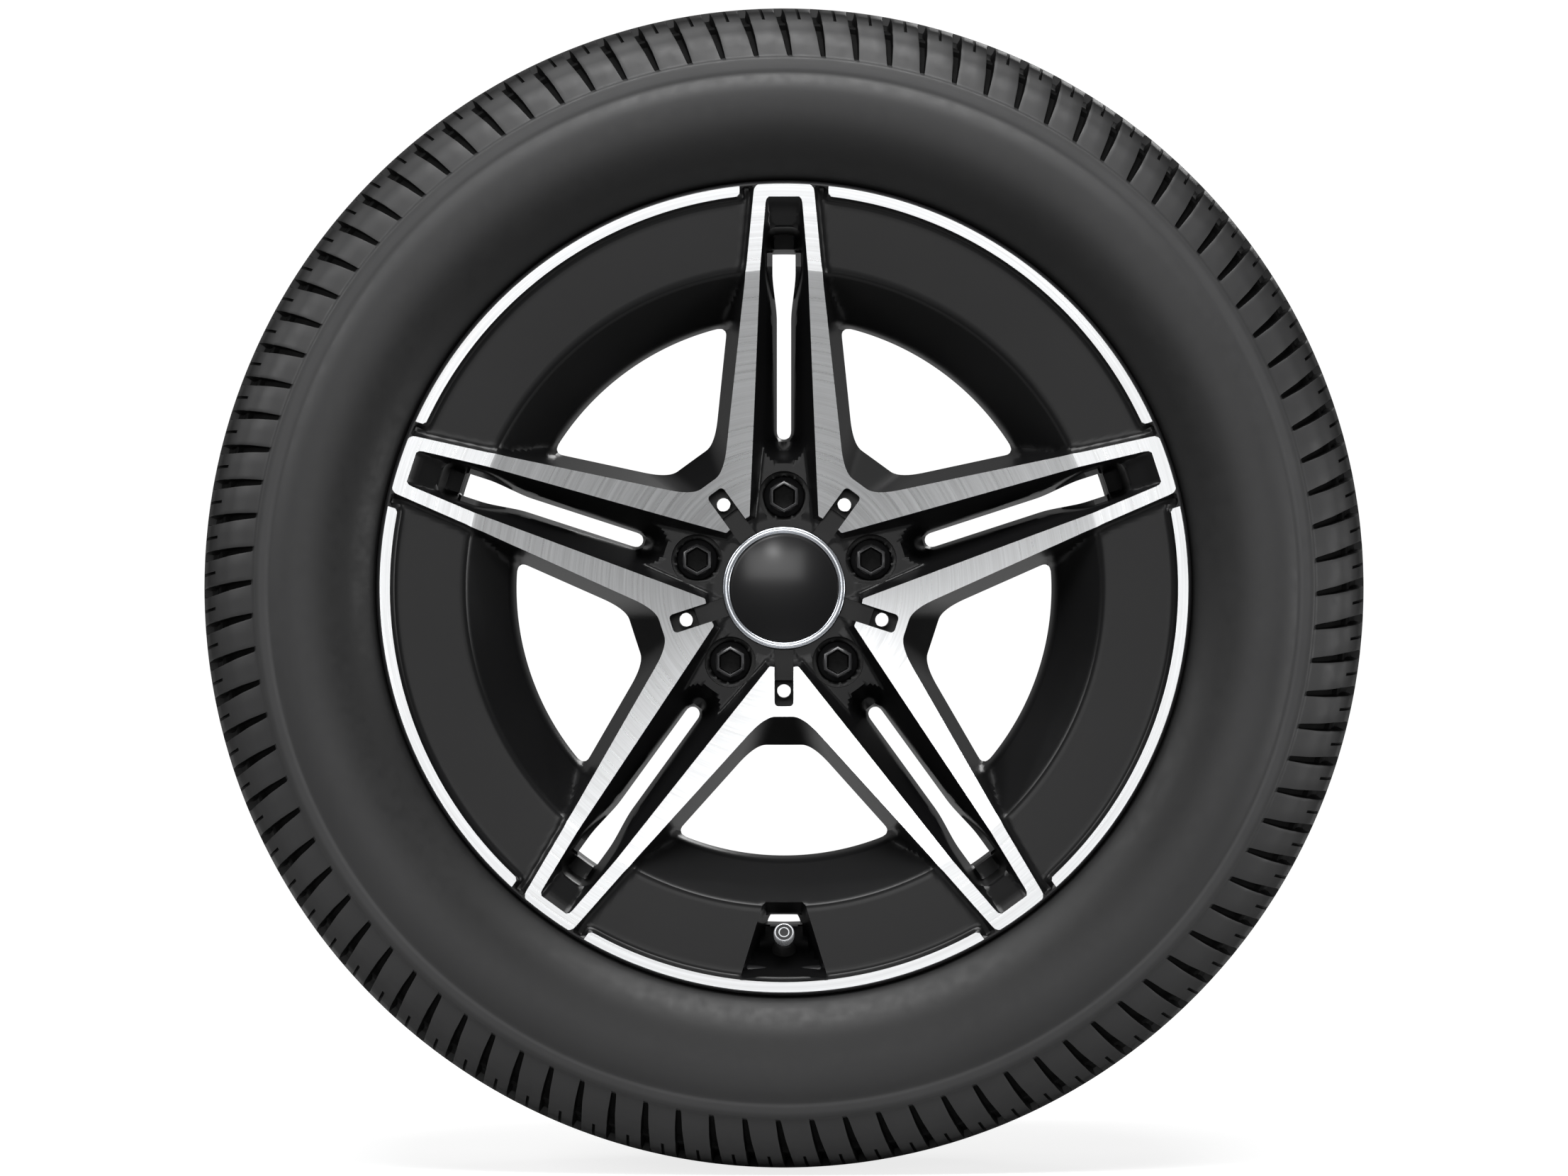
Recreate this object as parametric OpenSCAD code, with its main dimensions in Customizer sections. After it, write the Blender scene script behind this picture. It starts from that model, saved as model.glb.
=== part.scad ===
// Car wheel with its tyre: a cast alloy wheel with five twin spokes, a turned face,
// a tubeless tyre, five ball seat wheel bolts, a centre cap and a rubber snap in valve
// with a pressure sensor. The axis of the wheel is Y, the outer face looks along -Y,
// and the valve stands at the bottom, at -Z. The origin is the middle of the rim.

/* [Rim] */
// Radius of the bead seats, 18 inch rim
bead_seat_r = 231; // [229:0.5:233]
// Half of the width between the flanges, 7.5 inch rim
rim_half_w = 95.25; // [90:0.25:101.5]
// Height of the flanges over the bead seats
flange_h = 17.3; // [16:0.1:18.5]
// Thickness of the outer flange, along the axis
flange_t = 11.2; // [10:0.1:12.5]
// Depth of the drop well under the bead seats
well_depth = 19.7; // [18:0.1:21]
// Wall of the barrel
barrel_wall = 4.5; // [3.5:0.1:6]

/* [Disc] */
// Distance of the mounting face from the middle of the rim
offset_et = 44; // [40:1:48]
// Height of the turned face over the middle of the rim, at its crease
face_z = 103.6; // [101:0.1:105]
// Radius of the crease between the flat and the dished part of the turned face
crease_r = 193.8; // [188:0.2:198]
// Fall of the turned face toward the hub, in degrees
dish_angle = 7.45; // [6:0.05:8.5]
// Depth of the painted panels under the turned face
panel_drop = 3.2; // [2:0.1:4.5]
// Slope of the panels between the crease and the windows, in degrees
panel_slope = 48; // [42:1:52]
// Radius of the outer edge of the windows
window_r = 165.9; // [160:0.1:170]
// Width of the polished strips along the flange
strip_w = 6.3; // [4:0.1:8]
// Width of the dark gap between a strip and a spoke
strip_gap = 7.1; // [5:0.1:9]

/* [Spokes] */
// Half of the width over a twin spoke, at the crease
spoke_half_w = 23.1; // [21:0.1:25]
// Growth of that half width toward the hub, per millimetre
spoke_taper = 0.0862; // [0.07:0.001:0.1]
// Draft of the outer walls of the spokes, in degrees
spoke_draft = 11.1; // [8:0.1:13]
// Half of the gap between the two bars of a spoke, at the crease
pocket_half_w = 14.6; // [13:0.1:16]
// Draft of the inner walls of the bars, in degrees
pocket_draft = 25; // [20:0.5:28]
// Depth of the trough between the bars, at its hub end
trough_depth = 29; // [24:0.5:32]
// Half of the width of the narrow part of the slot
slot_half_w = 4.3; // [3.5:0.1:5]
// Half of the width of the wide outer part of the slot
slot_wide_half_w = 7.05; // [6:0.05:8]
// Radius of the hub end of the slot
slot_end_r = 91.3; // [88:0.1:96]

/* [Hub] */
// Radius of the centre bore
bore_r = 33.3; // [30:0.05:34]
// Length of the centre bore
bore_len = 16; // [12:1:20]
// Radius of the mounting pad
pad_r = 76; // [73:0.5:80]
// Height of the hub floor round the cap over the middle of the rim
hub_floor_z = 77; // [74:0.5:79]
// Radius of the bolt circle, 5 by 112
bolt_circle_r = 56; // [54:0.5:57.5]
// Radius of the bolt shanks, M14
bolt_shank_r = 7; // [6:0.25:7.5]
// Clearance of the bolt holes round the shanks
bolt_clear = 0.5; // [0.3:0.1:1]
// Radius of the pockets that the bolt heads stand in
bolt_pocket_r = 15.65; // [14.5:0.05:16]
// Metal under the bolt heads
bolt_grip = 13; // [10:0.5:16]
// Length of the thread past the mounting face
bolt_reach = 29; // [22:1:34]
// Radius of the through hole between two bolts
dowel_r = 4.25; // [3:0.05:5]
// Half of the width of the channel that holds that hole
channel_half_w = 5.8; // [5.2:0.1:6.5]

/* [Cap] */
// Radius of the chrome ring of the centre cap
cap_r = 37.5; // [36:0.1:39]
// Width of the chrome ring
cap_ring_w = 4.2; // [3:0.1:5.5]
// Rise of the domed disc
cap_dome = 2.2; // [1:0.1:3.5]

/* [Tyre] */
// Radius of the tyre over its tread, 235/55
tyre_r = 357.85; // [352:0.25:362]
// Half of the section width
tyre_half_w = 122.5; // [118:0.5:127]
// Half of the width of the tread
tread_half_w = 97; // [92:0.5:101]
// Depth of the tread grooves
groove_depth = 7.4; // [5:0.1:8.5]
// Width of the grooves round the tread
groove_w = 9.4; // [6:0.1:11]
// Number of cross grooves on each shoulder
shoulder_grooves = 100; // [80:1:110]
// Width of the cross grooves
shoulder_groove_w = 4.4; // [3:0.1:5.5]
// Thickness of the sidewalls
sidewall_t = 8.5; // [7:0.1:10]

/* [Valve] */
// Radius at which the valve leaves the rim
valve_r = 222; // [220:0.5:224]
// Tilt of the valve toward the axis, in degrees
valve_tilt = 24; // [20:0.5:27]
// Length of the valve over the rim
valve_len = 30.7; // [28:0.1:33]
// Radius of the rubber foot of the valve
valve_foot_r = 7.2; // [6.5:0.1:7.8]
// Radius of the hole for the valve
valve_hole_r = 5.7; // [5.5:0.05:6]
// Radius of the knurled cap
valve_cap_r = 6.3; // [5.8:0.1:7]
// Length of the knurled cap
valve_cap_len = 11; // [9.5:0.1:12]
// Travel of the valve pin
pin_travel = 1.2; // [0.8:0.1:1.4]

/* [Hidden] */
$fn = 96;

big = 600;
top_z = 130;
spokes = 5;
spoke_pitch = 360 / spokes;
valve_angle = -90;
fit_gap = 0.05;

// Rim section
flange_r = bead_seat_r + flange_h;
rim_front_z = rim_half_w + flange_t;
well_r = bead_seat_r - well_depth;
well_in_r = well_r - barrel_wall;
leg_wall = 5.5;
lip_r = flange_r - 2.3;
strip_in_r = lip_r - strip_w;
strip_foot_w = 2.3;
channel_sink = 0.6;
inner_flange_t = 9;
hump_z = rim_half_w - 21.6;
ledge_r = bead_seat_r - 5;

// Turned face
dish = tan(dish_angle);
outer_fall = 0.04;
panel_z = face_z - panel_drop;
panel_edge_z = face_height(strip_in_r) - panel_drop;
cone_z = panel_z - (crease_r - window_r) * tan(panel_slope);

// Walls of the spokes: half width over the crease, growth and draft
wall_t = tan(spoke_draft);
pocket_t = tan(pocket_draft);
pocket_growth = 0.1021;
panel_wall_t = tan(38);
panel_wall_taper = 0.066;
pocket_end_r = 239.9;
trough_low_x = 98;
trough_high_x = 194;
trough_high_drop = 9.5;
ramp_x = 218;
ramp_drop = 6.4;
slot_wide_x = 191.5;
slot_taper_x = 165.5;
slot_far_r = 216;
slot_draft = 0.12;

// Hub end of a window: centre of its round, reach at the back and lean
window_end_x = 104.5;
window_from_r = 94;
window_low_z = 50;
window_in_x = 97;
window_in_slope = 0.479;
round_step = 0.25;
panel_t = 12;

// Hub
bolt_seat_z = offset_et + bolt_grip;
bolt_ball_r = 14;
bolt_ball_rise = 8.2;
bolt_hole_r = bolt_shank_r + bolt_clear;
bolt_collar_r = 12.15;
tip_r = 48.6;
tip_run = 2.4;
channel_far_r = 72.3;
channel_step_r = 56.3;
channel_step_drop = 1.4;
dowel_x = 63.1;
dowel_floor_z = 60;
cap_seat_r = cap_r + 0.35;
cap_seat_z = hub_floor_z - 3;
cap_bore_r = bore_r - 0.8;
clip_groove_z = cap_seat_z - 9;
cap_gap = 0.12;
shell_r = cap_bore_r - 0.35;
clip_h = 0.9;

// Tyre
tyre_groove_z = [-58, -20, 20, 58];
crown_drop = 7;
crown_t = 14.5;
shoulder_r = tyre_r - crown_drop;
bead_w = 20;
bead_gap = 0.15;

// Valve
valve_z = 73;
spot_depth = 0.5;
tube_r = 3.85;
tube_in_r = 3.1;
tube_bore_r = 1.45;
tube_low = -13.5;
tube_top = valve_len - 2.8;
tube_gap = 0.02;
stem_low = -11;
stem_top = 17.6;
thread_from = 18.6;
cap_from = valve_len - valve_cap_len;
valve_core_r = 2.55;
core_top = tube_top - 2.2;
core_low = core_top - 11;
core_low_bore_r = 0.95;
core_top_bore_r = 0.75;
chamber_r = 1.75;
chamber_low = core_low + 1.5;
chamber_top = core_low + 8;
pin_r = 0.6;
collar_t = 0.8;
collar_top = chamber_top - 0.1;
washer_t = 1.6;

// Height of the turned face at a radius
function face_height(r) =
    r > crease_r ? face_z + (r - crease_r) * outer_fall : face_z - (crease_r - r) * dish;

// Height of the back of the disc at a radius
function back_height(r) = r < pad_r ? offset_et : offset_et + 5 + (r - pad_r) * 0.1;

// Height of the rim leg that faces the disc, square to the valve
function leg_height(r) = valve_z + (r - valve_r) * tan(valve_tilt);

// Points of an arc in the plane
function arc(cx, cy, r, from, to, steps = 8) =
    [for (i = [0:steps]) let (a = from + (to - from) * i / steps) [cx + r * cos(a), cy + r * sin(a)]];

// The local frame has its Z axis along the wheel axis, toward the outer face
module face_frame() {
    rotate([90, 0, 0]) children();
}

module at_spokes() {
    for (k = [0:spokes - 1]) rotate(90 + k * spoke_pitch) children();
}

module at_windows() {
    for (k = [0:spokes - 1]) rotate(valve_angle + k * spoke_pitch) children();
}

module valve_frame() {
    rotate(valve_angle) translate([valve_r, 0, valve_z]) rotate([0, -valve_tilt, 0]) children();
}

module ring(points) {
    rotate_extrude() polygon(points);
}

// All that lies past the plane y = at - growth * x - draft * z, or short of it
module half_space(at, growth, draft, side) {
    slant = sqrt(1 + growth * growth + draft * draft);
    translate([0, at, 0])
        rotate([asin(draft / slant), 0, -atan(growth)])
            translate([-big, side > 0 ? 0 : -2 * big, -big]) cube(2 * big);
}

module both_sides() {
    children();
    mirror([0, 1, 0]) children();
}

// Full section of the blank: lip, bead seats, humps, drop well, barrel, disc back and face
module wheel_blank() {
    out = rim_half_w;
    ring(concat(
        [[lip_r, face_height(lip_r)], [lip_r + 1.2, rim_front_z - 1.5], [flange_r - 0.3, rim_front_z - 3.2]],
        [[flange_r, rim_front_z - 4.6], [flange_r, out + 4.2]],
        arc(flange_r - 4.2, out + 4.2, 4.2, 0, -60, 3),
        [[bead_seat_r + 9.5, out + 0.2], [bead_seat_r + 6.5, out]],
        arc(bead_seat_r + 6.2, out - 6.2, 6.2, 90, 180, 4),
        [[bead_seat_r - 1.5, hump_z + 4.5], [bead_seat_r - 0.3, hump_z + 1.5],
        [bead_seat_r - 0.3, hump_z - 0.6]],
        [[ledge_r + 1.4, leg_height(ledge_r + 1.4) - leg_wall],
        [well_r + 1.5, leg_height(well_r + 1.5) - leg_wall]],
        [[well_r, leg_height(well_r) - leg_wall - 3], [well_r, 14], [ledge_r, -10], [ledge_r, -hump_z + 5]],
        [[bead_seat_r - 0.6, -hump_z + 1], [bead_seat_r - 0.6, -hump_z - 1.5],
        [bead_seat_r - 1.5, -hump_z - 4.5]],
        arc(bead_seat_r + 6.2, -out + 6.2, 6.2, 180, 270, 4),
        [[bead_seat_r + 9.5, -out - 0.2]],
        arc(flange_r - 4.2, -out - 4.2, 4.2, 60, -90, 6),
        [[bead_seat_r + 5, -out - inner_flange_t + 1], [bead_seat_r - 1.5, -out - 4]],
        [[ledge_r - barrel_wall + 0.6, -hump_z - 3], [ledge_r - barrel_wall, -hump_z + 6]],
        [[ledge_r - barrel_wall, -12], [well_in_r, 12], [well_in_r, back_height(well_in_r)]],
        [[pad_r + 2, back_height(pad_r + 2)], [pad_r, offset_et]],
        [[cap_bore_r, offset_et], [cap_bore_r, face_height(cap_bore_r)], [crease_r, face_z]]
    ));
}

// Air over the rim leg, so that a cut in the disc leaves the barrel whole
module above_leg() {
    ring([
        [0, 20], [well_in_r, 20], [well_in_r, leg_height(well_in_r)],
        [lip_r, leg_height(lip_r)], [lip_r, 130], [0, 130]
    ]);
}

// Air between two spokes: the window right through, and the steep cone over the panel
half_pitch = spoke_pitch / 2;
wall_at = spoke_half_w + spoke_taper * crease_r + wall_t * face_z;
module between_spokes(at, growth, draft) {
    intersection() {
        children();
        rotate(-half_pitch) half_space(at, growth, draft, 1);
        rotate(half_pitch) mirror([0, 1, 0]) half_space(at, growth, draft, 1);
    }
}

// The hub end of a window is round, touches both spokes and leans more than they do
wall_s = sin(half_pitch) + spoke_taper * cos(half_pitch);
function window_end_r(z) =
    (window_end_x * wall_s - wall_at + wall_t * z) / sqrt(1 + spoke_taper * spoke_taper) - round_step;
module window_air() {
    top = 130;
    intersection() {
        rotate([90, 0, 0])
            translate([0, 0, -150])
                linear_extrude(300)
                    polygon([
                        [window_in_x + (window_low_z - 30) * window_in_slope, 30], [210, 30], [210, top],
                        [window_in_x - (top - window_low_z) * window_in_slope, top]
                    ]);
        union() {
            between_spokes(wall_at, spoke_taper, wall_t)
                ring([
                    [window_from_r, 30], [window_r, 30], [window_r, cone_z], [crease_r, panel_z],
                    [crease_r, top], [window_from_r, top]
                ]);
            translate([window_end_x, 0, 30])
                cylinder(h = top - 30, r1 = window_end_r(30), r2 = window_end_r(top));
        }
    }
}

// Air over the shallow panel outside the crease, up to the polished strip
outer_at = spoke_half_w + panel_wall_taper * crease_r + panel_wall_t * face_z;
module panel_air() {
    between_spokes(outer_at, panel_wall_taper, panel_wall_t)
        ring([
            [crease_r - 2, panel_z], [crease_r, panel_z], [strip_in_r - strip_foot_w, panel_edge_z],
            [strip_in_r + 0.5, face_height(strip_in_r) + 0.5], [strip_in_r + 0.5, 130], [crease_r - 2, 130]
        ]);
}

// Dark gap between the end of a strip and the frame of a spoke
frame_half_w = spoke_half_w - panel_wall_taper * (lip_r - crease_r);
module strip_channel() {
    intersection() {
        ring([
            [strip_in_r - 6, panel_edge_z + 2], [strip_in_r - 3, panel_edge_z - channel_sink],
            [lip_r - 1.2, panel_edge_z - channel_sink], [lip_r + 0.2, top_z], [strip_in_r - 6, top_z]
        ]);
        half_space(outer_at - 0.25, panel_wall_taper, panel_wall_t, 1);
        half_space(frame_half_w + strip_gap - panel_wall_t * face_z, 0, -panel_wall_t, -1);
    }
}

// Profile of the floor between the two bars, along the spoke
trough_low_z = face_height(trough_low_x) - trough_depth;
module pocket_profile() {
    rotate([90, 0, 0])
        translate([0, 0, -40])
            linear_extrude(80)
                polygon([
                    [36, hub_floor_z], [slot_end_r - 2, hub_floor_z], [slot_end_r - 2, trough_low_z],
                    [trough_low_x, trough_low_z],
                    [trough_high_x, face_height(trough_high_x) - trough_high_drop],
                    [ramp_x, face_height(ramp_x) - ramp_drop],
                    [pocket_end_r - 1.2, face_height(pocket_end_r) - 1.2],
                    [pocket_end_r + 5, face_height(pocket_end_r) + 5], [pocket_end_r + 5, top_z], [36, top_z]
                ]);
}

pocket_at = pocket_half_w + pocket_growth * crease_r - pocket_t * face_z;
pocket_round_r = pocket_at - pocket_growth * slot_end_r + pocket_t * hub_floor_z - round_step;
module pocket_air() {
    intersection() {
        pocket_profile();
        half_space(pocket_at, pocket_growth, -pocket_t, -1);
        mirror([0, 1, 0]) half_space(pocket_at, pocket_growth, -pocket_t, -1);
    }
    // Round hub end of the deep trough
    round_drop = hub_floor_z - trough_low_z;
    translate([slot_end_r - 2, 0, trough_low_z])
        cylinder(h = round_drop, r1 = pocket_round_r - pocket_t * round_drop, r2 = pocket_round_r);
}

// Slot right through the spoke: a drafted narrow part and a wide outer part
module slot() {
    slot_z = 45;
    slot_h = 50;
    // The widths are those at the back of the disc, half way out
    slot_back_z = back_height(110);
    intersection() {
        above_leg();
        union() {
            end_r = slot_half_w - round_step - slot_draft * (slot_back_z - slot_z);
            translate([slot_end_r + slot_half_w, 0, slot_z])
                cylinder(h = slot_h, r1 = end_r, r2 = end_r + slot_draft * slot_h);
            intersection() {
                translate([slot_end_r + slot_half_w, -30, slot_z])
                    cube([slot_wide_x - slot_end_r, 60, slot_h]);
                half_space(slot_half_w - slot_draft * slot_back_z, 0, -slot_draft, -1);
                mirror([0, 1, 0]) half_space(slot_half_w - slot_draft * slot_back_z, 0, -slot_draft, -1);
            }
            translate([0, 0, slot_z])
                linear_extrude(slot_h + 5)
                    polygon(concat(
                        [[slot_taper_x, slot_half_w], [slot_taper_x, -slot_half_w],
                        [slot_wide_x, -slot_wide_half_w]],
                        arc(slot_far_r - 3, -slot_wide_half_w + 3, 3, -90, 0, 4),
                        arc(slot_far_r - 3, slot_wide_half_w - 3, 3, 0, 90, 4),
                        [[slot_wide_x, slot_wide_half_w]]
                    ));
        }
    }
}

// Hub floor, bolt pockets, bolt holes, channels with their holes, cap seat and bore
module hub_cuts() {
    tip_slope = tip_run / (face_height(tip_r) - hub_floor_z);
    ring([
        [0, hub_floor_z], [tip_r - tip_run, hub_floor_z], [tip_r - tip_run + (top_z - hub_floor_z) * tip_slope, top_z],
        [0, top_z]
    ]);
    at_spokes() {
        translate([bolt_circle_r, 0, bolt_seat_z + 2]) cylinder(h = big, r = bolt_pocket_r);
        translate([bolt_circle_r, 0, offset_et - 1]) cylinder(h = 60, r = bolt_hole_r);
        translate([bolt_circle_r, 0, 0])
            ring(concat(
                [[0, bolt_seat_z + 4], [0, bolt_seat_z - 6]], ball_seat(0),
                [[bolt_collar_r + 1, bolt_seat_z + 2.6], [bolt_collar_r + 1, bolt_seat_z + 4]]
            ));
    }
    at_windows() {
        translate([channel_step_r, 0, 0]) channel_bar(dowel_floor_z, channel_far_r - channel_step_r);
        translate([30, -channel_half_w, hub_floor_z - channel_step_drop])
            cube([channel_step_r - 29, 2 * channel_half_w, 60]);
        translate([dowel_x, 0, 20]) cylinder(h = 100, r = dowel_r);
    }
    translate([0, 0, cap_seat_z]) cylinder(h = 60, r = cap_seat_r);
    translate([0, 0, clip_groove_z - 2.2]) cylinder(h = 2.2, r = cap_bore_r + 1);
    translate([0, 0, offset_et - 1]) cylinder(h = bore_len + 1, r = bore_r);
}

// Points of the ball seat under a bolt head, from the shank out
function ball_seat(gap) = [for (a = [58:-4:30])
    [(bolt_ball_r + gap) * cos(a), bolt_seat_z + bolt_ball_rise - (bolt_ball_r + gap) * sin(a)]];

module channel_bar(floor_z, len) {
    end_r = 2.5;
    translate([0, 0, floor_z])
        linear_extrude(60)
            polygon(concat(
                [[0, channel_half_w], [0, -channel_half_w]],
                arc(len - end_r, -channel_half_w + end_r, end_r, -90, 0, 4),
                arc(len - end_r, channel_half_w - end_r, end_r, 0, 90, 4)
            ));
}

// Cut for the valve: a flared pocket in the panel, the milled face and the hole
valve_cut_half_w = 13.6;
valve_cut_growth = -0.3;
valve_cut_draft = 0.17;
valve_cut_in_r = 190.3;
module valve_cut() {
    at = valve_cut_half_w - valve_cut_growth * -194.6 - valve_cut_draft * panel_z;
    rotate(valve_angle) intersection() {
        above_leg();
        rotate([90, 0, 0])
            translate([0, 0, -40])
                linear_extrude(80)
                    polygon([
                        [valve_cut_in_r, top_z], [valve_cut_in_r, panel_z], [198.5, panel_z - panel_t - 6],
                        [well_in_r - 2, panel_z - panel_t - 6], [well_in_r - 2, leg_height(well_in_r) - 3],
                        [217, leg_height(217) - 1], [223.5, leg_height(223.5) + 2.4], [228.5, 86],
                        [strip_in_r - 1.5, panel_edge_z + 1.6], [strip_in_r, top_z]
                    ]);
        half_space(at, valve_cut_growth, -valve_cut_draft, -1);
        mirror([0, 1, 0]) half_space(at, valve_cut_growth, -valve_cut_draft, -1);
    }
    valve_frame() {
        translate([0, 0, -spot_depth]) cylinder(h = 26, r = 10.25);
        translate([0, 0, -12]) cylinder(h = 20, r = valve_hole_r);
    }
}

// Space behind the panels, open to the back; its outer wall meets the barrel at a slant
function cavity_out_r(z) = well_in_r + (z - offset_et - 10) * 0.15;
module back_cavity() {
    between_spokes(wall_at + 3, spoke_taper, wall_t)
        ring([
            [window_r + 11, 20], [window_r + 11, cone_z - 4], [crease_r + 2, panel_z - panel_t],
            [cavity_out_r(panel_z - panel_t), panel_z - panel_t], [cavity_out_r(20), 20]
        ]);
}

module wheel() {
    color([0.12, 0.12, 0.125])
        face_frame()
            difference() {
                difference() {
                    difference() {
                        wheel_blank();
                        at_windows() {
                            window_air();
                            panel_air();
                            back_cavity();
                        }
                        at_spokes() both_sides() strip_channel();
                    }
                    at_spokes() {
                        pocket_air();
                        slot();
                    }
                }
                hub_cuts();
                valve_cut();
            }
}

// Section of the tyre: crown, shoulder, buttress, sidewall and bead, out to in
function tyre_outside() = [
    [tyre_r, 0], [tyre_r - 0.5, 25], [tyre_r - 1.5, 50], [tyre_r - 3.2, 75], [tyre_r - 5, tread_half_w - 7],
    [shoulder_r, tread_half_w], [shoulder_r - 6, tread_half_w + 6], [shoulder_r - 15, tyre_half_w - 12.5],
    [shoulder_r - 27.5, tyre_half_w - 7.6], [shoulder_r - 29, tyre_half_w - 6.3],
    [shoulder_r - 35.8, tyre_half_w - 4.6], [shoulder_r - 37.5, tyre_half_w - 5.2],
    [shoulder_r - 45, tyre_half_w - 1.2], [shoulder_r - 54, tyre_half_w],
    [shoulder_r - 66, tyre_half_w - 0.6],
    [shoulder_r - 78, tyre_half_w - 3.6], [flange_r + 12, tyre_half_w - 9.5],
    [flange_r + 5, rim_front_z + 1.5],
    [flange_r + 1.2, rim_front_z - 3], [flange_r + bead_gap, rim_front_z - 5.5]
];
function tyre_half() = concat(
    tyre_outside(),
    arc(flange_r - 4.2, rim_half_w + 4.2, 4.2 + bead_gap, 0, -60, 3),
    [[bead_seat_r + 9.5, rim_half_w - bead_gap], [bead_seat_r + 6.4, rim_half_w - bead_gap]],
    arc(bead_seat_r + 6.4, rim_half_w - 6.4, 6.4 - bead_gap, 90, 180, 5),
    [[bead_seat_r + bead_gap, rim_half_w - bead_w + 2], [bead_seat_r + 3, rim_half_w - bead_w]],
    [[bead_seat_r + 22, rim_half_w - 7], [flange_r + 18, tyre_half_w - sidewall_t - 7]],
    [[shoulder_r - 66, tyre_half_w - sidewall_t], [shoulder_r - 50, tyre_half_w - sidewall_t]],
    [[shoulder_r - 30, tyre_half_w - sidewall_t - 5], [shoulder_r - 16, tread_half_w - 3]],
    [[tyre_r - crown_t - 1, tread_half_w - 25], [tyre_r - crown_t, 0]]
);

// The whole section: one half, then its mirror image the other way round
module tyre_section() {
    half = tyre_half();
    last = len(half) - 1;
    polygon(concat(half, [for (i = [last - 1:-1:1]) [half[i][0], -half[i][1]]]));
}

// Cutter of one cross groove: it follows the shoulder and runs out on the sidewall
module shoulder_cutter() {
    d = groove_depth;
    rotate([90, 0, 0])
        translate([0, 0, -shoulder_groove_w / 2])
            linear_extrude(shoulder_groove_w)
                polygon([
                    [shoulder_r - 31, tyre_half_w - 5], [shoulder_r - 13, tread_half_w + 2],
                    [shoulder_r - d + 3.5, 58], [tyre_r + 8, 58], [tyre_r + 8, tyre_half_w + 6],
                    [shoulder_r - 31, tyre_half_w + 6]
                ]);
}

module tyre() {
    color([0.1, 0.1, 0.1])
        face_frame()
            difference() {
                rotate_extrude() tyre_section();
                for (z = tyre_groove_z)
                    ring([
                        [tyre_r - groove_depth, z - groove_w / 2 + 1.2],
                        [tyre_r - groove_depth, z + groove_w / 2 - 1.2],
                        [tyre_r + 1, z + groove_w / 2], [tyre_r + 1, z - groove_w / 2]
                    ]);
                for (k = [0:shoulder_grooves - 1]) rotate(k * 360 / shoulder_grooves) shoulder_cutter();
                mirror([0, 0, 1])
                    for (k = [0:shoulder_grooves - 1])
                        rotate((k + 0.5) * 360 / shoulder_grooves) shoulder_cutter();
            }
}

// Centre cap: a moulded shell with a skirt, the chrome ring, the domed disc and the wire ring
cap_rim_z = cap_seat_z + cap_gap;
cap_plate_t = 3.6;
cap_skirt = 13.4;
ring_in_r = cap_r - cap_ring_w;
module cap_body() {
    color([0.06, 0.06, 0.065])
        face_frame()
            difference() {
                ring([
                    [0, cap_rim_z], [shell_r - 2.6, cap_rim_z], [shell_r - 2.6, cap_rim_z - cap_skirt],
                    [shell_r - 0.8, cap_rim_z - cap_skirt], [shell_r, cap_rim_z - cap_skirt + 1],
                    [shell_r, clip_groove_z - 1.9],
                    [shell_r + clip_h, clip_groove_z - 1.4], [shell_r + clip_h, clip_groove_z - 0.8],
                    [shell_r, clip_groove_z - 0.3], [shell_r, cap_rim_z], [cap_r, cap_rim_z],
                    [cap_r, cap_rim_z + 2.4], [ring_in_r, cap_rim_z + 2.4],
                    [ring_in_r, cap_rim_z + cap_plate_t], [0, cap_rim_z + cap_plate_t]
                ]);
                for (k = [0:5])
                    rotate(k * 60) translate([shell_r - 6, -1.5, cap_rim_z - 15]) cube([12, 3, 12]);
            }
}

module cap_disc() {
    low = cap_rim_z + cap_plate_t + fit_gap;
    dome_r = (pow(ring_in_r, 2) + pow(cap_dome, 2)) / (2 * cap_dome);
    edge = asin((ring_in_r - fit_gap) / dome_r);
    color([0.03, 0.03, 0.035])
        face_frame()
            ring(concat(
                [[0, low], [ring_in_r - fit_gap, low]],
                arc(0, low + 0.8 + cap_dome - dome_r, dome_r, 90 - edge, 90, 12)
            ));
}

module cap_ring() {
    low = cap_rim_z + 2.4 + fit_gap;
    mid = cap_r - cap_ring_w / 2;
    color([0.85, 0.85, 0.87])
        face_frame()
            ring(concat(
                [[ring_in_r + fit_gap, low], [cap_r, low], [cap_r, low + 1.6]],
                arc(mid, low + 1.6, cap_ring_w / 2 - fit_gap, 0, 180, 12)
            ));
}

// Wire ring that spreads the clips of the cap
module cap_spring() {
    color([0.6, 0.6, 0.62])
        face_frame()
            rotate([0, 0, 15])
                rotate_extrude(angle = 345)
                    translate([shell_r - 3.6 - fit_gap, cap_rim_z - 10]) circle(r = 0.9);
}

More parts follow.
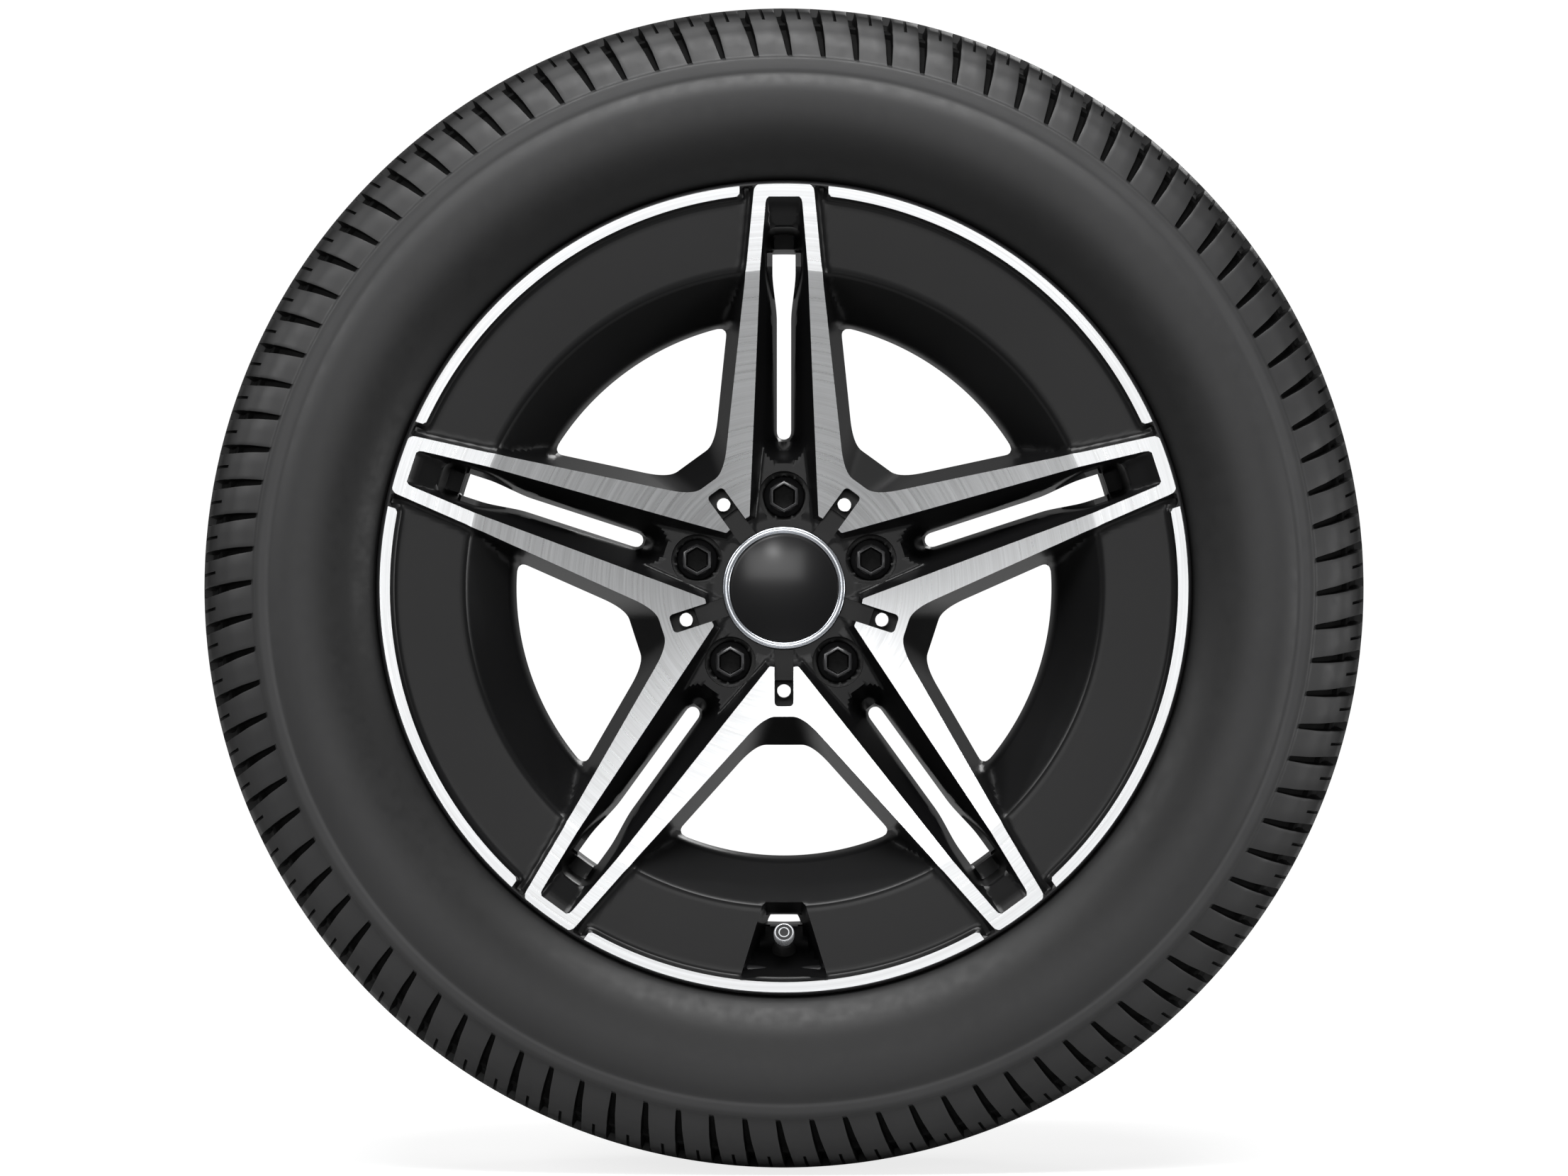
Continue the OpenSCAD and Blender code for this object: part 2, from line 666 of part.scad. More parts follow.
// Wheel bolt: thread, ball seat, collar, six sided head and its recess
bolt_hex_af = 17;
module lug_bolt(k) {
    collar_z = bolt_seat_z + 3.6;
    head_top = hub_floor_z - 1;
    // The thread ends in a plain neck just under the hub face
    bolt_neck_r = bolt_shank_r - 0.6;
    color([0.1, 0.1, 0.105])
        face_frame()
            rotate(90 + k * spoke_pitch)
                translate([bolt_circle_r, 0, 0])
                    difference() {
                        union() {
                            ring(concat(
                                [[0, offset_et - bolt_reach], [bolt_shank_r - 1.6, offset_et - bolt_reach]],
                                [[bolt_shank_r, offset_et - bolt_reach + 1.6],
                                [bolt_shank_r, offset_et - 2.2], [bolt_neck_r, offset_et - 1.4],
                                [bolt_neck_r, bolt_seat_z - 4.6]],
                                ball_seat(-fit_gap),
                                [[bolt_collar_r, bolt_seat_z + 1.9], [bolt_collar_r, collar_z]],
                                [[bolt_collar_r - 0.6, collar_z + 0.9], [8.6, collar_z + 3.2],
                                [0, collar_z + 3.2]]
                            ));
                            intersection() {
                                translate([0, 0, collar_z])
                                    cylinder(h = head_top - collar_z, r = bolt_hex_af / sqrt(3), $fn = 6);
                                translate([0, 0, collar_z])
                                    cylinder(h = head_top - collar_z, r1 = 24, r2 = bolt_hex_af / 2 + 0.3);
                            }
                        }
                        translate([0, 0, head_top - 5]) cylinder(h = 6, r = 12.9 / sqrt(3), $fn = 6);
                        translate([0, 0, head_top - 8]) cylinder(h = 3.1, r1 = 0.2, r2 = 6.4);
                    }
}

module lug_bolt_1() { lug_bolt(0); }
module lug_bolt_2() { lug_bolt(1); }
module lug_bolt_3() { lug_bolt(2); }
module lug_bolt_4() { lug_bolt(3); }
module lug_bolt_5() { lug_bolt(4); }

// Rubber valve body, snapped into the hole of the rim
module valve_stem() {
    hole = valve_hole_r - 0.06;
    under = -leg_wall * cos(valve_tilt) - fit_gap;
    color([0.05, 0.05, 0.05])
        face_frame()
            valve_frame()
                ring([
                    [tube_in_r + tube_gap, stem_low], [6.6, stem_low], [8.3, stem_low + 3.4], [8.3, under],
                    [hole, under], [hole, fit_gap - spot_depth], [valve_foot_r, fit_gap - spot_depth],
                    [valve_foot_r, 2.2],
                    [valve_foot_r - 0.6, 4], [5.6, 12], [5.3, 16.5], [4.6, stem_top],
                    [tube_in_r + tube_gap, stem_top]
                ]);
}

module valve_tube() {
    color([0.75, 0.6, 0.3])
        face_frame()
            valve_frame()
                ring([
                    [tube_bore_r, tube_low], [tube_in_r, tube_low], [tube_in_r, stem_top + 0.2],
                    [3.4, stem_top + 0.2], [tube_r, thread_from], [tube_r, tube_top - 0.6],
                    [tube_r - 0.6, tube_top], [valve_core_r + fit_gap, tube_top], [valve_core_r + fit_gap, 8],
                    [tube_bore_r, 7]
                ]);
}

// Valve core: a barrel with a chamber for the spring, bored for the pin at both ends
module valve_core() {
    color([0.78, 0.64, 0.35])
        face_frame()
            valve_frame()
                ring([
                    [core_low_bore_r, core_low], [valve_core_r, core_low], [valve_core_r, core_top],
                    [core_top_bore_r, core_top], [core_top_bore_r, chamber_top], [chamber_r, chamber_top],
                    [chamber_r, chamber_low], [core_low_bore_r, chamber_low]
                ]);
}

// Pin: its foot carries the washer, its collar the spring, and its head stands over the core
module valve_pin() {
    foot = core_low - washer_t - fit_gap - 0.02;
    head = core_top + pin_travel + 0.15;
    color([0.7, 0.7, 0.72])
        face_frame()
            valve_frame()
                ring([
                    [0, foot - 1], [1.5, foot - 1], [1.5, foot], [pin_r, foot],
                    [pin_r, collar_top - collar_t],
                    [1.2, collar_top - collar_t], [1.2, collar_top], [pin_r, collar_top], [pin_r, head],
                    [0.95, head], [0.95, head + 0.4], [0, head + 0.4]
                ]);
}

module valve_washer() {
    low = core_low - washer_t - fit_gap;
    color([0.1, 0.1, 0.1])
        face_frame()
            valve_frame()
                ring([
                    [pin_r + 0.02, low], [2.1, low], [2.1, low + washer_t], [pin_r + 0.02, low + washer_t]
                ]);
}

// Coil of the pin spring under the collar, with the travel of the pin left free below it
coil_turns = 5;
coil_wire_r = 0.18;
coil_r = 1.2;
coil_steps = 12;
coil_sides = 6;
coil_top = collar_top - collar_t - coil_wire_r - 0.03;
coil_low = chamber_low + pin_travel + coil_wire_r + 0.15;
module valve_spring() {
    rings = coil_turns * coil_steps;
    points = [for (i = [0:rings], j = [0:coil_sides - 1])
        let (a = i * 360 / coil_steps, b = j * 360 / coil_sides, r = coil_r + coil_wire_r * cos(b))
        [r * cos(a), r * sin(a), coil_low + (coil_top - coil_low) * i / rings + coil_wire_r * sin(b)]];
    sides = [for (i = [0:rings - 1], j = [0:coil_sides - 1])
        let (n = (j + 1) % coil_sides)
        [i * coil_sides + j, i * coil_sides + n, (i + 1) * coil_sides + n, (i + 1) * coil_sides + j]];
    first = [[for (j = [coil_sides - 1:-1:0]) j]];
    last = [[for (j = [0:coil_sides - 1]) rings * coil_sides + j]];
    color([0.7, 0.7, 0.72])
        face_frame()
            valve_frame()
                polyhedron(points = points, faces = concat(sides, first, last));
}

// Knurled cap with its dark disc and its sealing ring
cap_hole_r = tube_r + 0.08;
module valve_cap() {
    knurls = 36;
    color([0.75, 0.75, 0.76])
        face_frame()
            valve_frame()
                difference() {
                    ring([
                        [0, cap_from], [valve_cap_r - 1.1, cap_from], [valve_cap_r - 1.1, cap_from + 3.4],
                        [valve_cap_r, cap_from + 4], [valve_cap_r, valve_len - 0.7],
                        [valve_cap_r - 0.7, valve_len],
                        [0, valve_len]
                    ]);
                    translate([0, 0, cap_from - 1]) cylinder(h = valve_cap_len - 0.9, r = cap_hole_r);
                    translate([0, 0, valve_len - 0.6]) cylinder(h = 2, r = valve_cap_r - 1.3);
                    for (k = [0:knurls - 1])
                        rotate(k * 360 / knurls)
                            translate([valve_cap_r + 0.15, 0, cap_from + 4.6])
                                cylinder(h = valve_cap_len, r = 0.38, $fn = 16);
                }
}

module valve_cap_disc() {
    color([0.05, 0.05, 0.055])
        face_frame()
            valve_frame()
                translate([0, 0, valve_len - 0.6 + 0.02])
                    cylinder(h = 0.5, r = valve_cap_r - 1.3 - 0.04);
}

module valve_cap_seal() {
    color([0.1, 0.1, 0.1])
        face_frame()
            valve_frame()
                ring([
                    [2, valve_len - 2.6], [tube_r - 0.5, valve_len - 2.6],
                    [tube_r - 0.5, valve_len - 1.95], [2, valve_len - 1.95]
                ]);
}

// Pressure sensor in the tyre: a box in the drop well with a lug under the foot of the valve
sensor_len = 46.5;
sensor_w = 26;
sensor_h = 15;
sensor_top_z = valve_z - 14;
corner = 4;
lug_top = tube_low - fit_gap;
lug_t = 3.4;
lug_half = 6;
screw_r = 1.35;
screw_head_r = 2.6;
module sensor_housing() {
    color([0.08, 0.08, 0.08])
        face_frame() {
            difference() {
                union() {
                    rotate(valve_angle)
                        translate([well_r + 1.3, 0, sensor_top_z])
                            rotate([90, 0, 90])
                                linear_extrude(sensor_h)
                                    polygon([
                                        [-sensor_w / 2 + corner, 0], [sensor_w / 2 - corner, 0],
                                        [sensor_w / 2, -corner], [sensor_w / 2, -sensor_len + corner],
                                        [sensor_w / 2 - corner, -sensor_len],
                                        [-sensor_w / 2 + corner, -sensor_len],
                                        [-sensor_w / 2, -sensor_len + corner], [-sensor_w / 2, -corner]
                                    ]);
                    valve_frame()
                        translate([-lug_half, -lug_half, lug_top - lug_t])
                            cube([2 * lug_half - 1, 2 * lug_half, lug_t]);
                }
                valve_frame() {
                    translate([0, 0, lug_top - lug_t - 1]) cylinder(h = lug_t + 2, r = screw_r + 0.2);
                    translate([0, 0, lug_top - lug_t - 40]) cylinder(h = 40, r = screw_head_r + 0.5);
                }
            }
        }
}

// Hollow screw: air passes through it into the valve
module sensor_screw() {
    head_top = lug_top - lug_t - fit_gap;
    color([0.7, 0.7, 0.72])
        face_frame()
            valve_frame()
                ring([
                    [0.6, head_top - 2], [screw_head_r, head_top - 2], [screw_head_r, head_top],
                    [screw_r, head_top], [screw_r, tube_low + 6], [0.6, tube_low + 6]
                ]);
}

// Adhesive balance weight along the inside of the barrel
weight_t = 4;
weight_w = 19;
module balance_weight() {
    color([0.5, 0.5, 0.52])
        face_frame()
            rotate(20)
                rotate_extrude(angle = 26)
                    polygon([
                        [ledge_r - barrel_wall - weight_t, -60], [ledge_r - barrel_wall - fit_gap, -60],
                        [ledge_r - barrel_wall - fit_gap, -60 + weight_w],
                        [ledge_r - barrel_wall - weight_t, -60 + weight_w]
                    ]);
}

wheel();
tyre();
cap_body();
cap_disc();
cap_ring();
cap_spring();
lug_bolt_1();
lug_bolt_2();
lug_bolt_3();
lug_bolt_4();
lug_bolt_5();
valve_stem();
valve_tube();
valve_core();
valve_pin();
valve_spring();
valve_washer();
valve_cap();
valve_cap_disc();
valve_cap_seal();
sensor_housing();
sensor_screw();
balance_weight();
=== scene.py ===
"""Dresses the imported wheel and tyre: a cast wheel with turned faces, its tyre, cap, bolts and valve."""

import logging
import math
from dataclasses import dataclass, field
from enum import Enum
from typing import Callable, Sequence

import bmesh
import bpy
import numpy as np
from mathutils import Matrix, Vector


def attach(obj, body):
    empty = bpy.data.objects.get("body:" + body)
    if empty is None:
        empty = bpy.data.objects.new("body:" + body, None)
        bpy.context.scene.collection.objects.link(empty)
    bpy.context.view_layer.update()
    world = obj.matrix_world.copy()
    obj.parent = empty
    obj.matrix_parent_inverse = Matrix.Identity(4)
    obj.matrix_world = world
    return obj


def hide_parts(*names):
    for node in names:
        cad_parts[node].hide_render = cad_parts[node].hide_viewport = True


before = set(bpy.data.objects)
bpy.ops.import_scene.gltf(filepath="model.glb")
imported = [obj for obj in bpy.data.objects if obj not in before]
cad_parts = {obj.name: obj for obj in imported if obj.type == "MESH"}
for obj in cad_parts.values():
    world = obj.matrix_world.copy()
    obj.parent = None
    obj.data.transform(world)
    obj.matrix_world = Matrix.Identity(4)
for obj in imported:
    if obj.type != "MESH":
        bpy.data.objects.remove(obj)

LOG = logging.getLogger("wheel")
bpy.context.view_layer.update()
MM = 0.001
FULL_TURN = 2 * math.pi
SPOKES = 5
SPOKE_STEP = 360 / SPOKES
FIRST_SPOKE = 90
NOISE_LOW, NOISE_HIGH = 0.3, 0.7
COARSE = 0.2
GRAIN_STRENGTH = 0.6
Array = np.ndarray
BMesh = bmesh.types.BMesh
Object = bpy.types.Object
Material = bpy.types.Material
Socket = bpy.types.NodeSocket
Profile = list[tuple[float, float]]
Colour = tuple[float, float, float]
Point = tuple[float, float, float]
Looks = dict[str, Material]


class Side(Enum):
    """The two halves of the tread."""

    OUTER = 1
    INNER = -1


class Finish(Enum):
    """The finishes that a face of the casting can have, by material index."""

    PAINT = 0
    TURNED = 1


def smin(a: Array, b: Array, k: float | Array) -> Array:
    """Lower of two heights, with a fillet where they meet.

    Args:
        a: First height.
        b: Second height.
        k: Height over which the two blend.

    Returns:
        The blended lower height.
    """
    h = np.clip(k - np.abs(a - b), 0, None) / k
    return np.minimum(a, b) - h * h * k / 4


def smax(a: Array, b: Array, k: float | Array) -> Array:
    """Higher of two heights, with a fillet where they meet.

    Args:
        a: First height.
        b: Second height.
        k: Height over which the two blend.

    Returns:
        The blended higher height.
    """
    return -smin(-a, -b, k)


def ramp(x: Array, low: float, high: float) -> Array:
    """Smooth step from 0 at low to 1 at high."""
    t = np.clip((x - low) / (high - low), 0, 1)
    return t * t * (3 - 2 * t)


def face_to_row() -> Matrix:
    """Turns the face frame (x right, y up, z outboard, mm) into the row frame in metres."""
    return Matrix.Rotation(math.radians(90), 4, "X") @ Matrix.Scale(MM, 4)


def object_from(bm: BMesh, name: str, body: str, to_row: Matrix | None = None) -> Object:
    """Makes an object of a finished bmesh, in the row frame.

    Args:
        bm: The mesh, in the face frame and in millimetres.
        name: Name of the piece.
        body: Body that the piece rides on.
        to_row: Transform into the row frame, if it isn't the plain one.

    Returns:
        The new object, at the origin.
    """
    bmesh.ops.transform(bm, matrix=to_row or face_to_row(), verts=bm.verts)
    mesh = bpy.data.meshes.new(name)
    bm.to_mesh(mesh)
    bm.free()
    piece = bpy.data.objects.new(name, mesh)
    bpy.context.scene.collection.objects.link(piece)
    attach(piece, body)
    return piece


def add_mesh(whole: BMesh, part: BMesh) -> None:
    """Adds a finished bmesh to another one.

    Args:
        whole: Mesh that grows.
        part: Mesh that is added; freed here.
    """
    mesh = bpy.data.meshes.new("part")
    part.to_mesh(mesh)
    part.free()
    whole.from_mesh(mesh)
    bpy.data.meshes.remove(mesh)


def to_plane(bm: BMesh) -> None:
    """Turns (radius, angle) in X and Y into places in the face frame."""
    for vert in bm.verts:
        radius, angle = vert.co.x, vert.co.y
        vert.co.x, vert.co.y = radius * math.cos(angle), radius * math.sin(angle)


def dress(piece: Object, slot: str, *materials: Material) -> None:
    """Gives a new piece its materials.

    Args:
        piece: New piece.
        slot: Name of the material slot; not used.
        *materials: Materials, by material index.
    """
    for material in materials:
        piece.data.materials.append(material)


def shade(bm: BMesh, angle: float = 28.0) -> None:
    """Smooths all faces and marks the edges that stay sharp.

    Args:
        bm: Mesh to shade.
        angle: Angle in degrees over which an edge is sharp.
    """
    limit = math.radians(angle)
    for face in bm.faces:
        face.smooth = True
    for edge in bm.edges:
        if len(edge.link_faces) == 2:
            edge.smooth = edge.calc_face_angle(0) < limit


def turned_bmesh(profile: Sequence[tuple[float, float]], steps: int, closed: bool = True) -> BMesh:
    """Spins a profile about the local Z axis.

    Args:
        profile: Points (radius, height) in order round the section, or along it if it isn't closed.
        steps: Number of steps of the full turn.
        closed: Whether the profile closes on itself.

    Returns:
        The spun mesh, with doubles merged and normals outwards.
    """
    bm = bmesh.new()
    verts = [bm.verts.new((r, 0, z)) for r, z in profile]
    pairs = list(zip(verts, verts[1:])) + ([(verts[-1], verts[0])] if closed else [])
    edges = [bm.edges.new(pair) for pair in pairs]
    bmesh.ops.spin(bm, geom=verts + edges, cent=(0, 0, 0), axis=(0, 0, 1), angle=FULL_TURN, steps=steps,
                   use_merge=True)
    bmesh.ops.remove_doubles(bm, verts=bm.verts, dist=1e-4)
    bmesh.ops.dissolve_degenerate(bm, edges=bm.edges, dist=1e-5)
    bmesh.ops.recalc_face_normals(bm, faces=bm.faces)
    return bm


def arc(cx: float, cz: float, r: float, start: float, end: float, steps: int = 6) -> Profile:
    """Points of an arc of a profile.

    Args:
        cx: Radius of the centre.
        cz: Height of the centre.
        r: Radius of the arc.
        start: First angle in degrees.
        end: Last angle in degrees.
        steps: Number of steps.

    Returns:
        The points, the first and the last included.
    """
    angles = [math.radians(start + (end - start) * i / steps) for i in range(steps + 1)]
    return [(cx + r * math.cos(a), cz + r * math.sin(a)) for a in angles]


class Nodes:
    """A small builder of node materials."""

    def __init__(self, name: str) -> None:
        """Starts a material with a Principled shader.

        Args:
            name: Name of the material.
        """
        self.material = bpy.data.materials.new(name)
        self.material.use_nodes = True
        self.tree = self.material.node_tree
        self.shader = self.tree.nodes["Principled BSDF"]

    def add(self, kind: str, **values: object) -> bpy.types.Node:
        """Adds a node and sets its properties.

        Args:
            kind: Blender's name of the node type.
            **values: Properties of the node.

        Returns:
            The new node.
        """
        node = self.tree.nodes.new(kind)
        for key, value in values.items():
            setattr(node, key, value)
        return node

    def link(self, source: Socket, target: Socket) -> None:
        """Links two sockets."""
        self.tree.links.new(source, target)

    def place(self) -> Socket:
        """Object coordinates, in metres."""
        return self.add("ShaderNodeTexCoord").outputs["Object"]

    def noise(self, place: Socket, scale: float, detail: float = 4.0) -> Socket:
        """Adds a noise texture.

        Args:
            place: Coordinates that it reads.
            scale: Scale per metre.
            detail: Octaves.

        Returns:
            Its value.
        """
        node = self.add("ShaderNodeTexNoise")
        node.inputs["Scale"].default_value = scale
        node.inputs["Detail"].default_value = detail
        self.link(place, node.inputs["Vector"])
        return node.outputs["Fac"]

    def spread(self, value: Socket, low: float, high: float) -> Socket:
        """Maps the usual range of a noise value to low and high.

        Args:
            value: Value that is mapped.
            low: Result at the low end of the range.
            high: Result at its high end.

        Returns:
            The mapped value.
        """
        node = self.add("ShaderNodeMapRange")
        node.inputs["From Min"].default_value = NOISE_LOW
        node.inputs["From Max"].default_value = NOISE_HIGH
        node.inputs["To Min"].default_value = low
        node.inputs["To Max"].default_value = high
        self.link(value, node.inputs["Value"])
        return node.outputs["Result"]

    def tint(self, value: Socket, dark: Sequence[float], light: Sequence[float]) -> None:
        """Colours the shader between two tones by a value.

        Args:
            value: Noise value.
            dark: Colour at the low end of its range.
            light: Colour at the high end.
        """
        node = self.add("ShaderNodeValToRGB")
        node.color_ramp.elements[0].position = NOISE_LOW
        node.color_ramp.elements[1].position = NOISE_HIGH
        node.color_ramp.elements[0].color = (*dark, 1)
        node.color_ramp.elements[1].color = (*light, 1)
        self.link(value, node.inputs["Fac"])
        self.link(node.outputs["Color"], self.shader.inputs["Base Color"])

    def bump(self, value: Socket, distance: float, strength: float = 1.0) -> None:
        """Bumps the shader by a value.

        Args:
            value: Height value.
            distance: Height in metres.
            strength: Strength of the bump.
        """
        node = self.add("ShaderNodeBump")
        node.inputs["Distance"].default_value = distance
        node.inputs["Strength"].default_value = strength
        self.link(value, node.inputs["Height"])
        self.link(node.outputs["Normal"], self.shader.inputs["Normal"])

    def rings(self, place: Socket, along: float = 0.0) -> Socket:
        """Coordinates that change with the distance from the wheel axis, and slowly along a circle.

        Args:
            place: Object coordinates.
            along: Share of the place along the circle.

        Returns:
            A vector with the radius in X.
        """
        parts = self.add("ShaderNodeSeparateXYZ")
        self.link(place, parts.inputs["Vector"])
        flat = self.add("ShaderNodeCombineXYZ")
        self.link(parts.outputs["X"], flat.inputs["X"])
        self.link(parts.outputs["Z"], flat.inputs["Y"])
        length = self.add("ShaderNodeVectorMath", operation="LENGTH")
        self.link(flat.outputs["Vector"], length.inputs[0])
        out = self.add("ShaderNodeCombineXYZ")
        self.link(length.outputs["Value"], out.inputs["X"])
        slow = self.add("ShaderNodeVectorMath", operation="SCALE")
        slow.inputs["Scale"].default_value = along
        self.link(flat.outputs["Vector"], slow.inputs[0])
        total = self.add("ShaderNodeVectorMath", operation="ADD")
        self.link(out.outputs["Vector"], total.inputs[0])
        self.link(slow.outputs["Vector"], total.inputs[1])
        return total.outputs["Vector"]


@dataclass(frozen=True)
class Paint:
    """Paint, plastic or rubber with a fine grain."""

    name: str
    dark: Colour
    light: Colour
    roughness: float
    grain: float = 900.0
    grain_depth: float = 0.00002
    coat: float = 0.0
    coat_roughness: float = 0.1
    metallic: float = 0.0
    specular: float = 0.5
    patch: float = 9.0
    vary: float = 0.05

    def make(self) -> Material:
        """Builds the material.

        Returns:
            The material.
        """
        m = Nodes(self.name)
        place = m.place()
        m.tint(m.noise(place, self.patch, 3), self.dark, self.light)
        coarse = m.noise(place, self.grain * COARSE)
        rough = m.spread(coarse, self.roughness - self.vary, self.roughness + self.vary)
        m.link(rough, m.shader.inputs["Roughness"])
        m.bump(m.noise(place, self.grain, 2), self.grain_depth, GRAIN_STRENGTH)
        m.shader.inputs["Metallic"].default_value = self.metallic
        m.shader.inputs["Specular IOR Level"].default_value = self.specular
        m.shader.inputs["Coat Weight"].default_value = self.coat
        m.shader.inputs["Coat Roughness"].default_value = self.coat_roughness
        return m.material


@dataclass(frozen=True)
class TurnedMetal:
    """Bright metal with the fine rings that a lathe tool leaves."""

    name: str
    dark: Colour
    light: Colour
    roughness: float = 0.3
    ring_scale: float = 3200.0
    ring_depth: float = 0.0000004
    along: float = 0.012
    coat: float = 0.3
    coat_roughness: float = 0.06
    vary: float = 0.04

    def make(self) -> Material:
        """Builds the material.

        Returns:
            The material.
        """
        m = Nodes(self.name)
        radius = m.rings(m.place(), self.along)
        m.tint(m.noise(radius, self.ring_scale * 0.3, 6), self.dark, self.light)
        coarse = m.noise(radius, self.ring_scale * COARSE)
        rough = m.spread(coarse, self.roughness - self.vary, self.roughness + self.vary)
        m.link(rough, m.shader.inputs["Roughness"])
        m.bump(m.noise(radius, self.ring_scale * 0.4, 3), self.ring_depth, 0.5)
        m.shader.inputs["Metallic"].default_value = 1.0
        m.shader.inputs["Coat Weight"].default_value = self.coat
        m.shader.inputs["Coat Roughness"].default_value = self.coat_roughness
        return m.material


@dataclass(frozen=True)
class Rubber:
    """Tyre rubber with painted light and shade by radius: darker beside the rim and at the tread, lighter on
    the sidewall.
    """

    name: str
    # Radius and grey of the painted light and shade, from the rim outwards
    painted_shading_tones: tuple[tuple[float, float], ...]
    roughness: float = 0.5
    grain: float = 700.0
    grain_depth: float = 0.00003
    specular: float = 0.4
    vary: float = 0.05
    patch: float = 9.0
    low_r: float = 0.24
    high_r: float = 0.36
    blue: float = 1.02

    def make(self) -> Material:
        """Builds the material.

        Returns:
            The material.
        """
        m = Nodes(self.name)
        place = m.place()
        radius = m.add("ShaderNodeSeparateXYZ")
        m.link(m.rings(place), radius.inputs["Vector"])
        part = m.add("ShaderNodeMapRange")
        part.inputs["From Min"].default_value = self.low_r
        part.inputs["From Max"].default_value = self.high_r
        m.link(radius.outputs["X"], part.inputs["Value"])
        # Ramp of painted light and shade by radius
        ramp = m.add("ShaderNodeValToRGB")
        stops = ramp.color_ramp.elements
        places = [(r - self.low_r) / (self.high_r - self.low_r) for r, _ in self.painted_shading_tones]
        stops[0].position, stops[1].position = places[0], places[-1]
        for where in places[1:-1]:
            stops.new(where)
        for stop, (_, grey) in zip(stops, self.painted_shading_tones):
            stop.color = (grey, grey, grey * self.blue, 1)
        m.link(part.outputs["Result"], ramp.inputs["Fac"])
        tone = m.add("ShaderNodeVectorMath", operation="SCALE")
        m.link(ramp.outputs["Color"], tone.inputs[0])
        m.link(m.spread(m.noise(place, self.patch, 3), 0.9, 1.1), tone.inputs["Scale"])
        m.link(tone.outputs["Vector"], m.shader.inputs["Base Color"])
        coarse = m.noise(place, self.grain * COARSE)
        rough = m.spread(coarse, self.roughness - self.vary, self.roughness + self.vary)
        m.link(rough, m.shader.inputs["Roughness"])
        m.bump(m.noise(place, self.grain, 2), self.grain_depth, GRAIN_STRENGTH)
        m.shader.inputs["Specular IOR Level"].default_value = self.specular
        return m.material


@dataclass
class RimSizes:
    """Sizes of the rim and of the cast face, in millimetres, the same as in the CAD source."""

    bead_seat_r: float = 231.0
    rim_half_w: float = 95.25
    flange_r: float = 248.3
    well_r: float = 211.3
    well_in_r: float = 206.8
    leg_wall: float = 5.5
    leg_edge_fall: float = 20.0
    lip_r: float = 246.0
    strip_in_r: float = 239.7
    face_z: float = 103.6
    crease_r: float = 193.8
    dish: float = math.tan(math.radians(7.45))
    outer_fall: float = 0.04
    panel_drop: float = 3.2
    panel_slope: float = math.tan(math.radians(48))
    window_r: float = 165.9
    spoke_half_w: float = 23.1
    spoke_taper: float = 0.0862
    frame_taper: float = 0.066
    spoke_draft: float = math.tan(math.radians(11.1))
    frame_draft: float = math.tan(math.radians(38))
    pocket_half_w: float = 14.6
    pocket_growth: float = 0.1021
    pocket_draft: float = math.tan(math.radians(25))
    pocket_end_r: float = 239.9
    slot_end_r: float = 91.3
    hub_floor_z: float = 77.0
    offset: float = 44.0
    pad_r: float = 76.0
    pad_step: float = 5.0
    back_rise: float = 0.1
    bore_r: float = 33.3
    bore_chamfer: float = 1.2
    cap_bore_r: float = 32.5
    cap_bore_low_z: float = 60.8
    cap_seat_r: float = 37.85
    cap_seat_z: float = 74.0
    hub_inside_z: float = 60.0
    bolt_circle_r: float = 56.0
    bolt_pocket_r: float = 15.65
    bolt_seat_z: float = 57.0
    bolt_floor_rise: float = 2.0
    bolt_cone_r: float = 12.6
    bolt_cone_slope: float = 0.9
    channel_half_w: float = 5.8
    channel_far_r: float = 72.3
    channel_corner_r: float = 2.5
    channel_step_r: float = 56.3
    channel_step_depth: float = 1.4
    dowel_x: float = 63.1
    dowel_r: float = 4.25
    valve_r: float = 222.0
    valve_z: float = 73.0
    valve_tilt: float = math.radians(24)

    def turned(self, r: Array) -> Array:
        """Height of the turned face at a radius."""
        inner = self.face_z - (self.crease_r - r) * self.dish
        outer = self.face_z + (r - self.crease_r) * self.outer_fall
        return np.where(r > self.crease_r, outer, inner)

    def turned_at(self, r: float) -> float:
        """Height of the turned face at one radius."""
        return float(self.turned(np.array(r)))

    def back(self, r: Array) -> Array:
        """Height of the back of the disc at a radius."""
        disc = self.offset + self.pad_step + (r - self.pad_r) * self.back_rise
        return np.where(r < self.pad_r, self.offset, disc)

    def leg(self, r: Array) -> Array:
        """Height of the rim leg that carries the valve."""
        return self.valve_z + (r - self.valve_r) * math.tan(self.valve_tilt)

    def leg_edge(self, r: Array) -> Array:
        """Height of the rim leg, which falls away inside the inner radius of the rim."""
        edge = self.well_in_r
        return np.where(r < edge, self.leg(np.array(edge)) - (edge - r) * self.leg_edge_fall, self.leg(r))


@dataclass(frozen=True)
class WallSizes:
    """Sizes of the outer wall of a spoke, of its outer end and of its root by the hub."""

    blend_in: float = 8.0
    blend_out: float = 5.0
    end_from_r: float = 232.0
    end_play: float = 0.3
    end_slope: float = 1.4
    end_fillet: float = 5.5
    hub_x: float = 97.0
    hub_z: float = 50.0
    hub_draft: float = 0.479
    hub_fillet: float = 26.0
    core_r: float = 46.2
    core_slope: float = 3.17
    core_fillet: float = 1.5
    root_start_r: float = 150.0
    root_out: float = 6.0
    root_fillets: tuple[float, ...] = (40.0, 36.0, 12.0, 2.2)


